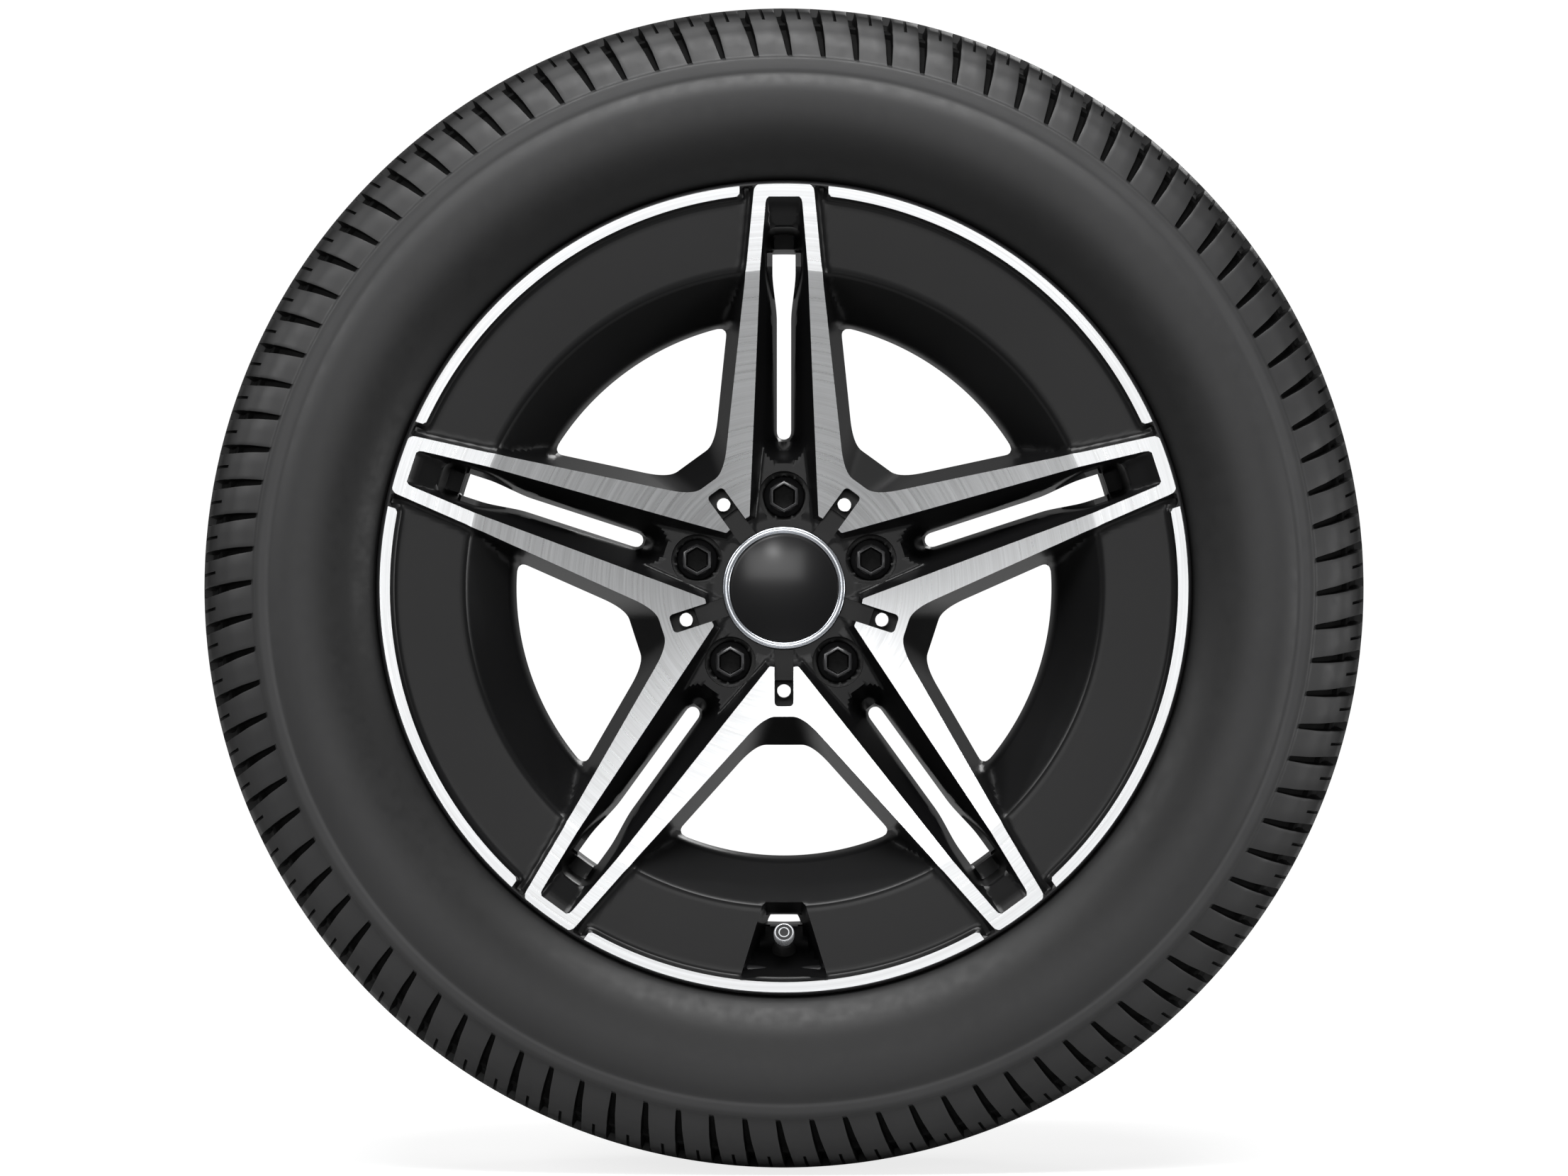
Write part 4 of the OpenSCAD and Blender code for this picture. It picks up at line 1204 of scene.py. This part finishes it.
@dataclass
class Tyre:
    """The tyre: a section in 100 pitches, with its cross grooves, ring grooves and ridge band."""

    tyre_r: float = 357.7
    half_w: float = 122.49
    shoulder_drop: float = 7.0
    groove_depth: float = 7.4
    outer_groove_extra: float = 1.0
    pitches: int = 100
    slit_depth: float = 2.0
    slit_rows: range = range(11, 15)
    plain_drift: float = 1.35
    phases: tuple[float, float] = (0.6, 2.4)
    sharp_angle: float = 33.0

    def tread(self) -> list[tuple[float, float, float, float, float]]:
        """Rows of the tread and of the upper sidewall, which the cross grooves reach.

        Returns:
            Radius, height, depth of the cross groove, its half width in degrees and its drift in degrees.
        """
        t, sh = self.tyre_r, self.tyre_r - self.shoulder_drop
        ring = t - self.groove_depth
        outer_ring = ring - self.outer_groove_extra
        crown = [(t, 0), (t - .3, 15.3), (ring, 16.5), (ring, 23.5), (t - .5, 24.7), (t - .9, 38),
                 (t - 1.3, 53.3), (outer_ring, 54.5), (outer_ring, 61.5)]
        return [*[(r, z, 0, .3, 0) for r, z in crown],
                (t - 2.1, 62.7, 5.5, .36, 0), (t - 3.2, 75, 7, .42, 0), (t - 5, 90, 7, .46, .05),
                (t - 6.2, 94.8, 7, .46, .1), (sh, 97, 6.6, .46, .15), (sh - 2.2, 99.6, 6.2, .45, .25),
                (sh - 4.4, 101.6, 3.4, .44, .35), (sh - 6, 103, 3.4, .43, .4),
                (sh - 7.6, 104.0, 5.6, .42, .5), (sh - 11, 106.8, 5.2, .39, .65),
                (sh - 15, 110, 4.6, .36, .82), (sh - 21, 112.4, 3.6, .31, 1.02),
                (sh - 26.2, 114.3, 2.0, .26, 1.2), (sh - 27.2, 114.7, .9, .24, 1.25),
                (sh - 27.9, 115.3, 0, .22, self.plain_drift), (sh - 28.6, 116.0, 0, .22, self.plain_drift)]

    def sidewall(self) -> Profile:
        """Rows of the plain sidewall, from the ridge band to the bead.

        Returns:
            Radius and height.
        """
        sh = self.tyre_r - self.shoulder_drop
        ridge = [(29.4, 116.35), (32, 117.0), (34.7, 117.6), (36.0, 117.75), (36.9, 117.6), (38.1, 117.7),
                 (39.8, 118.6), (42, 119.7), (45, 121.0), (49, 122.0), (54, self.half_w), (60, 122.4),
                 (66, 121.9), (72, 120.8), (78, 118.9)]
        bead = [(265.5, 116.3), (260.3, 113), (256.5, 110.4), (253.3, 107.95), (251.4, 105.9),
                (249.5, 103.45), (248.6, 101.2), (248.45, 99.3), (246.3, 95.9), (240.5, 95.1), (234, 94),
                (231.3, 89),
                (231.15, 80), (231.15, 77.25), (234, 75.25)]
        return [*[(sh - drop, z) for drop, z in ridge], *bead]

    def pitch(self, side: Side) -> BMesh:
        """Builds one pitch of one half of the tyre.

        Args:
            side: Which half.

        Returns:
            The mesh in the face frame.
        """
        tread = self.tread()
        rows = tread + [(r, z, 0, 0, self.plain_drift) for r, z in self.sidewall()]
        points = np.array([(r, z) for r, z, *_ in rows])
        along = np.gradient(points, axis=0)
        normal = np.stack([along[:, 1], -along[:, 0]], axis=1)
        normal /= np.linalg.norm(normal, axis=1)[:, None]
        # Depth of each column of a pitch, as a share of the cross groove's depth
        cuts = (0, 0, .06, .72, 1, 1, .72, .06, 0, 0, 0, 0, 0, 0)
        # The plain sidewall takes four steps a pitch
        plain = [-0.8] * 3 + [0.1] * 3 + [1.0] * 4 + [1.9] * 3 + [2.8]
        bm = bmesh.new()
        bmesh.ops.create_grid(bm, x_segments=len(rows) - 1, y_segments=len(cuts) - 1, size=0.5)
        place: dict[bmesh.types.BMVert, tuple[int, int]] = {}
        for vert in bm.verts:
            i = round((vert.co.x + 0.5) * (len(rows) - 1))
            j = round((vert.co.y + 0.5) * (len(cuts) - 1))
            r, z, depth, half_w, drift = rows[i]
            grooved = [-0.8, *[-half_w + d for d in (-.16, -.03, .03, .1)],
                       *[half_w + d for d in (-.1, -.03, .03, .16)], 1.65, 1.68, 1.92, 1.95, 2.8]
            angle = math.radians((grooved if i < len(tread) else plain)[j] - drift)
            # A short narrow slit stands between two grooves, near the edge of the tread
            deep = self.slit_depth if i in self.slit_rows and j in (10, 11) else depth * cuts[j]
            rr, zz = r - normal[i][0] * deep, z - normal[i][1] * deep
            vert.co = (rr * math.cos(angle), rr * math.sin(angle), zz * side.value)
            place[vert] = (i, j)
        # Faces in the grooves and the slit take the darker material, which is painted shade
        for face in bm.faces:
            i = min(place[v][0] for v in face.verts)
            j = min(place[v][1] for v in face.verts)
            in_groove = 2 <= j <= 6 and min(rows[i][2], rows[i + 1][2]) > 1.8
            in_slit = 9 <= j <= 11 and self.slit_rows.start - 1 <= i < self.slit_rows.stop
            face.material_index = 1 if in_groove or in_slit else 0
        bmesh.ops.remove_doubles(bm, verts=bm.verts, dist=1e-4)
        return bm

    def build(self, looks: Looks) -> list[Object]:
        """Builds the whole tyre, with painted shade in its grooves and slit.

        Args:
            looks: The materials by name.

        Returns:
            The one piece.
        """
        whole = bmesh.new()
        step = Matrix.Rotation(math.radians(360 / self.pitches), 4, "Z")
        for side, phase in zip(Side, self.phases):
            part = self.pitch(side)
            bmesh.ops.transform(part, matrix=Matrix.Rotation(math.radians(phase), 4, "Z"), verts=part.verts)
            mesh = bpy.data.meshes.new("pitch")
            part.to_mesh(mesh)
            part.free()
            for _ in range(self.pitches):
                mesh.transform(step)
                whole.from_mesh(mesh)
            bpy.data.meshes.remove(mesh)
        bmesh.ops.remove_doubles(whole, verts=whole.verts, dist=0.01)
        bmesh.ops.recalc_face_normals(whole, faces=whole.faces)
        shade(whole, self.sharp_angle)
        piece = object_from(whole, "tyre_skin", "root")
        dress(piece, "tyre_rubber", looks["rubber"], looks["groove"])
        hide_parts("tyre")
        return [piece]


@dataclass
class Cap:
    """The domed disc and the bright ring of the centre cap."""

    r: float = 37.5
    ring_w: float = 4.2
    dome: float = 2.2
    low_z: float = 77.72
    ring_low_z: float = 76.57
    gap: float = 0.05

    def disc(self) -> Object:
        """Builds the domed disc, with a rolled edge."""
        edge_r = self.r - self.ring_w - self.gap
        radius = (edge_r ** 2 + self.dome ** 2) / (2 * self.dome)
        top = self.low_z + 0.85 + self.dome
        crown = [(edge_r * f, top - radius + math.sqrt(radius ** 2 - (edge_r * f) ** 2))
                 for f in (0.0, 0.15, 0.3, 0.45, 0.6, 0.74, 0.86, 0.94, 0.975)]
        rim_z = crown[-1][1]
        profile = [(0, self.low_z + 0.05), (edge_r - 0.2, self.low_z + 0.05), (edge_r, self.low_z + 0.25),
                   (edge_r, rim_z - 0.45), (edge_r - 0.12, rim_z - 0.18), (edge_r - 0.4, rim_z - 0.03),
                   *reversed(crown)]
        bm = turned_bmesh(profile, 144, closed=False)
        shade(bm, 40)
        return object_from(bm, "cap_face", "root")

    def ring(self) -> Object:
        """Builds the ring, a low half round."""
        low = self.ring_low_z + 0.05
        mid, half = self.r - self.ring_w / 2, self.ring_w / 2 - self.gap
        shoulder = low + 1.4
        crown = [(x, shoulder + (z - shoulder) * 0.5) for x, z in arc(mid, shoulder, half, 4, 176, 20)]
        profile = [(mid - half, low), (mid + half, low), (mid + half, shoulder), *crown,
                   (mid - half, shoulder)]
        bm = turned_bmesh(profile, 192)
        shade(bm, 40)
        return object_from(bm, "cap_trim", "root")

    def build(self, looks: Looks) -> list[Object]:
        """Builds both pieces.

        Args:
            looks: The materials by name.

        Returns:
            The disc and the ring.
        """
        disc, ring = self.disc(), self.ring()
        dress(disc, "cap_gloss", looks["gloss"])
        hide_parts("cap_disc")
        dress(ring, "chrome_ring", looks["chrome"])
        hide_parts("cap_ring")
        return [disc, ring]


@dataclass
class Bolt:
    """The five ball seat wheel bolts with six sided heads."""

    circle_r: float = 56.0
    shank_r: float = 7.0
    neck_r: float = 6.4
    reach_z: float = 15.0
    face_z: float = 44.0
    seat_z: float = 57.0
    ball_r: float = 13.95
    ball_rise: float = 8.2
    collar_r: float = 12.15
    collar_rise: float = 3.6
    hex_af: float = 17.0
    hex_low: float = 4.6
    recess_af: float = 12.9
    recess_depth: float = 5.0
    head_z: float = 76.0
    crown_r: float = 8.1
    crown_fall: float = 0.55
    edge_bevel: float = 0.45
    pitch_mm: float = 1.5
    thread_depth: float = 0.75

    def thread(self) -> Profile:
        """Section of the thread, ring by ring."""
        points: Profile = []
        z = self.reach_z + 2.0
        root_r = self.shank_r - self.thread_depth
        while z < self.face_z - 3.4:
            points += [(self.shank_r, z), (self.shank_r, z + 0.3), (root_r, z + 0.75), (root_r, z + 1.0)]
            z += self.pitch_mm
        return [*points, (self.shank_r, z)]

    def shank(self) -> BMesh:
        """Turns the thread, the ball seat and the collar."""
        collar_z = self.seat_z + self.collar_rise
        ball = arc(0, self.seat_z + self.ball_rise, self.ball_r, -58, -30, 7)
        profile = [(0, self.reach_z), (self.shank_r - 1.6, self.reach_z),
                   (self.shank_r - 0.8, self.reach_z + 0.9), *self.thread(),
                   (self.shank_r, self.face_z - 2.2), (self.neck_r, self.face_z - 1.4),
                   (self.neck_r, self.seat_z - 4.6), *ball, (self.collar_r - 0.15, self.seat_z + 1.9),
                   (self.collar_r, self.seat_z + 2.1), (self.collar_r, collar_z - 0.3),
                   (self.collar_r - 0.25, collar_z + 0.3), (self.collar_r - 0.8, collar_z + 0.95),
                   (9.6, collar_z + 2.9), (9.0, collar_z + 3.2), (0, collar_z + 3.2)]
        return turned_bmesh(profile, 64, closed=False)

    def head(self) -> BMesh:
        """Builds the head: a hexagon with a turned crown and a six sided recess."""
        bm = bmesh.new()
        low = self.seat_z + self.hex_low
        radius = self.hex_af / math.sqrt(3)
        depth = self.head_z - low
        centre = Matrix.Translation((0, 0, low + depth / 2))
        bmesh.ops.create_cone(bm, cap_ends=True, segments=6, radius1=radius, radius2=radius, depth=depth,
                              matrix=centre)
        top = [f for f in bm.faces if f.normal.z > 0.9]
        bmesh.ops.inset_region(bm, faces=top, thickness=(self.hex_af - self.recess_af) / 2)
        moved = bmesh.ops.extrude_face_region(bm, geom=top)
        verts = [v for v in moved["geom"] if isinstance(v, bmesh.types.BMVert)]
        bmesh.ops.translate(bm, verts=verts, vec=(0, 0, -self.recess_depth))
        bmesh.ops.delete(bm, geom=[f for f in top if f.is_valid], context="FACES_ONLY")
        floor = [f for f in moved["geom"] if isinstance(f, bmesh.types.BMFace)]
        bmesh.ops.inset_region(bm, faces=floor, thickness=0.9)
        bmesh.ops.translate(bm, verts=list({v for f in floor for v in f.verts}), vec=(0, 0, -1.6))
        edges = [e for e in bm.edges if len(e.link_faces) == 2 and e.calc_face_angle(0) > 0.6
                 and min(v.co.z for v in e.verts) > low + 1]
        bmesh.ops.bevel(bm, geom=edges, offset=self.edge_bevel, offset_type="OFFSET", segments=3, profile=0.5,
                        affect="EDGES", material=-1)
        # The crown of the head is turned: its corners fall away
        for vert in bm.verts:
            rho = math.hypot(vert.co.x, vert.co.y)
            if vert.co.z > self.head_z - 1.2 and rho > self.crown_r:
                vert.co.z -= (rho - self.crown_r) * self.crown_fall
        bmesh.ops.recalc_face_normals(bm, faces=bm.faces)
        # Faces deep in the recess take the darker material, which is painted shade
        for face in bm.faces:
            middle = face.calc_center_median()
            inside = middle.z < self.head_z - 0.5 and middle.xy.length < self.recess_af / 1.8
            face.material_index = 1 if inside else 0
        return bm

    def build(self, looks: Looks) -> list[Object]:
        """Builds all the bolts in their pockets.

        Args:
            looks: The materials by name.

        Returns:
            The five pieces.
        """
        pieces = []
        for number in range(SPOKES):
            bm = self.shank()
            add_mesh(bm, self.head())
            shade(bm, 35)
            angle = math.radians(FIRST_SPOKE + SPOKE_STEP * number)
            place = Matrix.Translation((self.circle_r * math.cos(angle), self.circle_r * math.sin(angle), 0))
            piece = object_from(bm, f"bolt_{number + 1}", "root", face_to_row() @ place)
            dress(piece, "bolt_steel", looks["bolt"], looks["recess"])
            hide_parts(f"lug_bolt_{number + 1}")
            pieces.append(piece)
        return pieces


@dataclass
class Valve:
    """The knurled cap of the valve with its dark disc, and the rubber body under it."""

    s: RimSizes = field(default_factory=RimSizes)
    length: float = 30.7
    cap_r: float = 6.3
    cap_len: float = 11.0
    knurls: int = 36
    knurl_steps: int = 6
    knurl_depth: float = 0.42
    tube_r: float = 3.12
    hole_r: float = 5.64
    foot_r: float = 7.2
    band_r: tuple[float, float] = (2.62, 3.28)

    def frame(self) -> Matrix:
        """Turns the frame of the valve into the row frame."""
        s = self.s
        return (face_to_row() @ Matrix.Rotation(math.radians(-90), 4, "Z")
                @ Matrix.Translation((s.valve_r, 0, s.valve_z)) @ Matrix.Rotation(-s.valve_tilt, 4, "Y"))

    def cap(self) -> Object:
        """Builds the knurled cap: a plain collar, the knurled part and the hollow under it."""
        low, top, r = self.length - self.cap_len, self.length, self.cap_r
        profile = [(3.95, low + 0.1), (r - 1.35, low), (r - 1.1, low + 0.25), (r - 1.1, low + 3.2),
                   (r - 0.9, low + 3.7), (r - 0.12, low + 4.2), (r - 0.02, low + 4.6), (r - 0.02, low + 7),
                   (r - 0.02, top - 0.9), (r - 0.25, top - 0.35), (r - 0.75, top - 0.02),
                   (r - 1.15, top - 0.02), (r - 1.3, top - 0.2), (r - 1.3, top - 0.6),
                   (3.9, top - 0.62), (3.9, top - 1.7), (3.93, low + 1)]
        bm = turned_bmesh(profile, self.knurls * self.knurl_steps)
        for vert in bm.verts:
            rho = math.hypot(vert.co.x, vert.co.y)
            if rho > r - 0.6 and low + 4.3 < vert.co.z < top - 0.3:
                wave = math.cos(self.knurls * math.atan2(vert.co.y, vert.co.x))
                sink = self.knurl_depth * max(0.0, -wave) ** 0.7
                vert.co.x *= 1 - sink / rho
                vert.co.y *= 1 - sink / rho
        shade(bm, 45)
        return object_from(bm, "dust_cap", "cap_turn", self.frame())

    def insert(self) -> Object:
        """Builds the dark disc on the cap, with one plain raised ring."""
        base = self.length - 0.58
        edge = self.cap_r - 1.34
        profile = [(0, base), (edge, base), (edge, base + 0.34), (edge - 0.15, base + 0.48),
                   (3.3, base + 0.48), (3.15, base + 0.57), (2.75, base + 0.57), (2.6, base + 0.4),
                   (1.2, base + 0.38), (0, base + 0.38)]
        bm = turned_bmesh(profile, 96, closed=False)
        shade(bm, 30)
        low, high = self.band_r
        for face in bm.faces:
            face.material_index = 1 if low < face.calc_center_median().xy.length < high else 0
        return object_from(bm, "dust_cap_disc", "cap_turn", self.frame())

    def body(self) -> Object:
        """Builds the rubber body over and under the rim."""
        tube, hole, foot = self.tube_r, self.hole_r, self.foot_r
        under = -self.s.leg_wall * math.cos(self.s.valve_tilt) - 0.05
        profile = [(tube, -11), (6.2, -11), (6.7, -10.7), (8.1, -7.8), (8.3, -7.2), (8.3, under),
                   (hole, under), (hole, -0.45), (foot - 0.2, -0.45), (foot, -0.2), (foot, 2.0),
                   (foot - 0.35, 3.3), (foot - 0.8, 4.3), (5.75, 11), (5.6, 12.2), (5.3, 16.2),
                   (5.1, 16.8), (4.6, 17.5), (3.2, 17.6), (tube, 17.4)]
        bm = turned_bmesh(profile, 96)
        shade(bm, 35)
        return object_from(bm, "valve_body", "root", self.frame())

    def build(self, looks: Looks) -> list[Object]:
        """Builds all three pieces.

        Args:
            looks: The materials by name.

        Returns:
            The cap, its disc and the rubber body.
        """
        cap, insert, body = self.cap(), self.insert(), self.body()
        dress(cap, "cap_metal", looks["plated"])
        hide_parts("valve_cap")
        dress(insert, "cap_insert", looks["insert"], looks["plated"])
        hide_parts("valve_cap_disc")
        dress(body, "valve_rubber", looks["soft"])
        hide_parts("valve_stem")
        return [cap, insert, body]


@dataclass(frozen=True)
class Lamp:
    """A soft rectangular lamp, turned to the point that it lights."""

    name: str
    place: Point
    size: tuple[float, float]
    power: float
    aim: Point = (0.0, 0.0, 0.0)

    def build(self) -> None:
        """Adds the lamp to the scene."""
        data = bpy.data.lights.new(self.name, "AREA")
        data.shape = "RECTANGLE"
        data.size, data.size_y = self.size
        data.energy = self.power
        lamp = bpy.data.objects.new(self.name, data)
        lamp.location = self.place
        lamp.rotation_euler = (Vector(self.aim) - Vector(self.place)).to_track_quat("-Z", "Y").to_euler()
        bpy.context.scene.collection.objects.link(lamp)


@dataclass
class Studio:
    """Camera, floor, surround and lamps."""

    distance: float = 5.0
    focal: float = 184.7
    sensor: float = 36.0
    far_clip: float = 60.0
    width: int = 2212
    height: int = 1659
    floor_z: float = -0.3581
    floor_albedo: float = 0.45
    floor_glow: float = 0.8
    floor_low: tuple[float, float] = (-3.5, -0.5)
    floor_high: tuple[float, float] = (3.5, 2.4)
    surround_level: float = 0.17
    surround_white: float = 1.05
    lamps: tuple[Lamp, ...] = (
        Lamp("lamp_top", (0.0, -1.9, 3.3), (3.6, 1.4), 190, (0, -0.1, 0.1)),
        Lamp("lamp_front", (-0.3, -6.2, 0.75), (1.8, 0.9), 36),
        Lamp("lamp_spot", (-0.33, -6.0, 1.15), (0.3, 0.3), 9),
        Lamp("lamp_low", (0.0, -3.4, -1.2), (1.0, 0.3), 2.5),
        Lamp("lamp_back", (1.0, 3.4, 1.6), (1.2, 0.9), 14),
        Lamp("lamp_left", (-2.8, -1.6, 1.6), (0.7, 1.4), 34),
        Lamp("lamp_right", (2.6, -1.2, -0.3), (0.5, 1.2), 20))

    def floor_paper(self) -> Material:
        """Makes the matt paper of the floor, which the camera sees lighter than the part does.

        Returns:
            The material.
        """
        m = Nodes("floor_paper")
        grey = self.floor_albedo
        m.shader.inputs["Base Color"].default_value = (grey, grey, grey, 1)
        m.shader.inputs["Roughness"].default_value = 0.95
        m.shader.inputs["Specular IOR Level"].default_value = 0.1
        path = m.add("ShaderNodeLightPath")
        glow = m.add("ShaderNodeMath", operation="MULTIPLY")
        glow.inputs[1].default_value = self.floor_glow
        m.link(path.outputs["Is Camera Ray"], glow.inputs[0])
        m.shader.inputs["Emission Color"].default_value = (1, 1, 1, 1)
        m.link(glow.outputs["Value"], m.shader.inputs["Emission Strength"])
        return m.material

    def floor(self) -> None:
        """Lays the pale floor under the tyre."""
        low, high = Vector((*self.floor_low, self.floor_z)), Vector((*self.floor_high, self.floor_z))
        bm = bmesh.new()
        bmesh.ops.create_grid(bm, x_segments=1, y_segments=1, size=0.5)
        bmesh.ops.scale(bm, verts=bm.verts, vec=high - low)
        bmesh.ops.translate(bm, verts=bm.verts, vec=(low + high) / 2)
        mesh = bpy.data.meshes.new("floor")
        bm.to_mesh(mesh)
        bm.free()
        mesh.materials.append(self.floor_paper())
        piece = bpy.data.objects.new("floor", mesh)
        bpy.context.scene.collection.objects.link(piece)

    def surround(self) -> None:
        """Sets an even surround that is white to the camera and dim to the part."""
        world = bpy.data.worlds.new("world")
        bpy.context.scene.world = world
        world.use_nodes = True
        tree = world.node_tree
        back = tree.nodes["Background"]
        back.inputs["Color"].default_value = (1, 1, 1, 1)
        path = tree.nodes.new("ShaderNodeLightPath")
        level = tree.nodes.new("ShaderNodeMapRange")
        level.inputs["To Min"].default_value = self.surround_level
        level.inputs["To Max"].default_value = self.surround_white
        tree.links.new(path.outputs["Is Camera Ray"], level.inputs["Value"])
        tree.links.new(level.outputs["Result"], back.inputs["Strength"])

    def camera(self) -> None:
        """Sets the camera straight in front of the wheel."""
        data = bpy.data.cameras.new("camera")
        data.sensor_width = self.sensor
        data.lens = self.focal
        data.clip_end = self.far_clip
        camera = bpy.data.objects.new("camera", data)
        camera.location = (0, -self.distance, 0)
        camera.rotation_euler = (math.radians(90), 0, 0)
        bpy.context.scene.collection.objects.link(camera)
        scene = bpy.context.scene
        scene.camera = camera
        scene.render.resolution_x, scene.render.resolution_y = self.width, self.height
        scene.view_settings.view_transform = "Standard"

    def build(self) -> None:
        """Sets up the whole studio."""
        self.camera()
        self.floor()
        self.surround()
        for lamp in self.lamps:
            lamp.build()


@dataclass
class Finishes:
    """All the finishes of the part."""

    paint: Paint = Paint(
        "wheel_paint", (0.003, 0.003, 0.0032), (0.005, 0.005, 0.0053), 0.31, 2500, 0.0000005, specular=0.27,
        vary=0.008)
    barrel: Paint = Paint(
        "barrel_paint", (0.012, 0.012, 0.013), (0.018, 0.018, 0.019), 0.45, 900, 0.00002, 0.2, 0.3)
    turned: TurnedMetal = TurnedMetal("turned_metal", (0.55, 0.555, 0.56), (0.67, 0.68, 0.69))
    # Painted light and shade on the tyre: dark by the rim and at the tread edge, lighter on the sidewall, a
    # painted highlight band at the ridge
    rubber: Rubber = Rubber("tyre_rubber_painted_shading", (
        (0.240, 0.008), (0.262, 0.008), (0.275, 0.012), (0.290, 0.024), (0.305, 0.031), (0.3125, 0.031),
        (0.3145, 0.042), (0.3185, 0.042), (0.3205, 0.028), (0.335, 0.030), (0.346, 0.018), (0.351, 0.006),
        (0.360, 0.006)))
    # Painted shade in the grooves of the tread
    groove: Paint = Paint(
        "groove_shade", (0.002, 0.002, 0.002), (0.004, 0.004, 0.004), 0.7, 700, 0.00003, specular=0.1)
    gloss: Paint = Paint(
        "cap_black", (0.003, 0.003, 0.0035), (0.005, 0.005, 0.0055), 0.3, 500, 0.0, 0.3, 0.14, specular=0.14,
        vary=0.0)
    chrome: Paint = Paint(
        "ring_chrome", (0.58, 0.61, 0.66), (0.68, 0.71, 0.76), 0.26, 300, 0.0, metallic=1.0, vary=0.0)
    plastic: Paint = Paint(
        "black_plastic", (0.018, 0.018, 0.019), (0.03, 0.03, 0.031), 0.5, 1500, 0.00002)
    bolt: Paint = Paint(
        "bolt_black", (0.03, 0.03, 0.032), (0.05, 0.05, 0.052), 0.33, 2500, 0.000006, 0.15, 0.3)
    # Painted shade inside the recess of a bolt head
    recess: Paint = Paint(
        "recess_black", (0.002, 0.002, 0.002), (0.004, 0.004, 0.004), 0.5, 2500, 0.00001, specular=0.15)
    steel: Paint = Paint(
        "plain_steel", (0.42, 0.42, 0.44), (0.55, 0.55, 0.57), 0.35, 2500, 0.00001, metallic=1.0)
    brass: Paint = Paint(
        "plain_brass", (0.5, 0.38, 0.18), (0.62, 0.48, 0.24), 0.35, 2500, 0.00001, metallic=1.0)
    soft: Paint = Paint(
        "valve_rubber_skin", (0.014, 0.014, 0.014), (0.024, 0.024, 0.024), 0.55, 2500, 0.00002)
    plated: Paint = Paint(
        "cap_plating", (0.5, 0.51, 0.53), (0.62, 0.63, 0.65), 0.3, 2500, 0.000004, metallic=0.55)
    insert: Paint = Paint(
        "insert_dark", (0.006, 0.0065, 0.007), (0.010, 0.0105, 0.011), 0.42, 3000, 0.00001, specular=0.25)
    zinc: Paint = Paint(
        "weight_grey", (0.2, 0.2, 0.21), (0.3, 0.3, 0.31), 0.5, 1500, 0.00003, metallic=0.6)

    def make(self) -> Looks:
        """Builds all the materials.

        Returns:
            The materials by the name of their field.
        """
        return {name: finish.make() for name, finish in vars(self).items()}


@dataclass
class KeptNodes:
    """The CAD nodes that are carried over: only their finish is set, by the name of its field."""

    finishes: dict[str, str] = field(default_factory=lambda: {
        "cap_body": "plastic", "cap_spring": "steel", "valve_tube": "brass", "valve_core": "brass",
        "valve_pin": "steel", "valve_spring": "steel", "valve_washer": "soft", "valve_cap_seal": "soft",
        "sensor_housing": "plastic", "sensor_screw": "steel", "balance_weight": "zinc"})

    def build(self, looks: Looks) -> list[Object]:
        """Gives each node its material.

        Args:
            looks: The materials by name.

        Returns:
            The nodes.
        """
        nodes = [bpy.data.objects[name] for name in self.finishes]
        for node, look in zip(nodes, self.finishes.values()):
            if not node.data.materials:
                node.data.materials.append(looks[look])
            for slot in node.material_slots:
                slot.material = looks[look]
        return nodes


def main() -> None:
    """Builds the studio and every piece in order, and reports each one."""
    logging.basicConfig(level=logging.INFO, format="%(message)s")
    Studio().build()
    looks = Finishes().make()
    face = WheelFace()
    for assembly in (face, WheelBack(face), Barrel(), Tyre(), Cap(), Bolt(), Valve(), KeptNodes()):
        for piece in assembly.build(looks):
            triangles = sum(len(p.vertices) - 2 for p in piece.data.polygons)
            LOG.info("%s: %d triangles", piece.name, triangles)


if __name__ == "__main__":
    main()
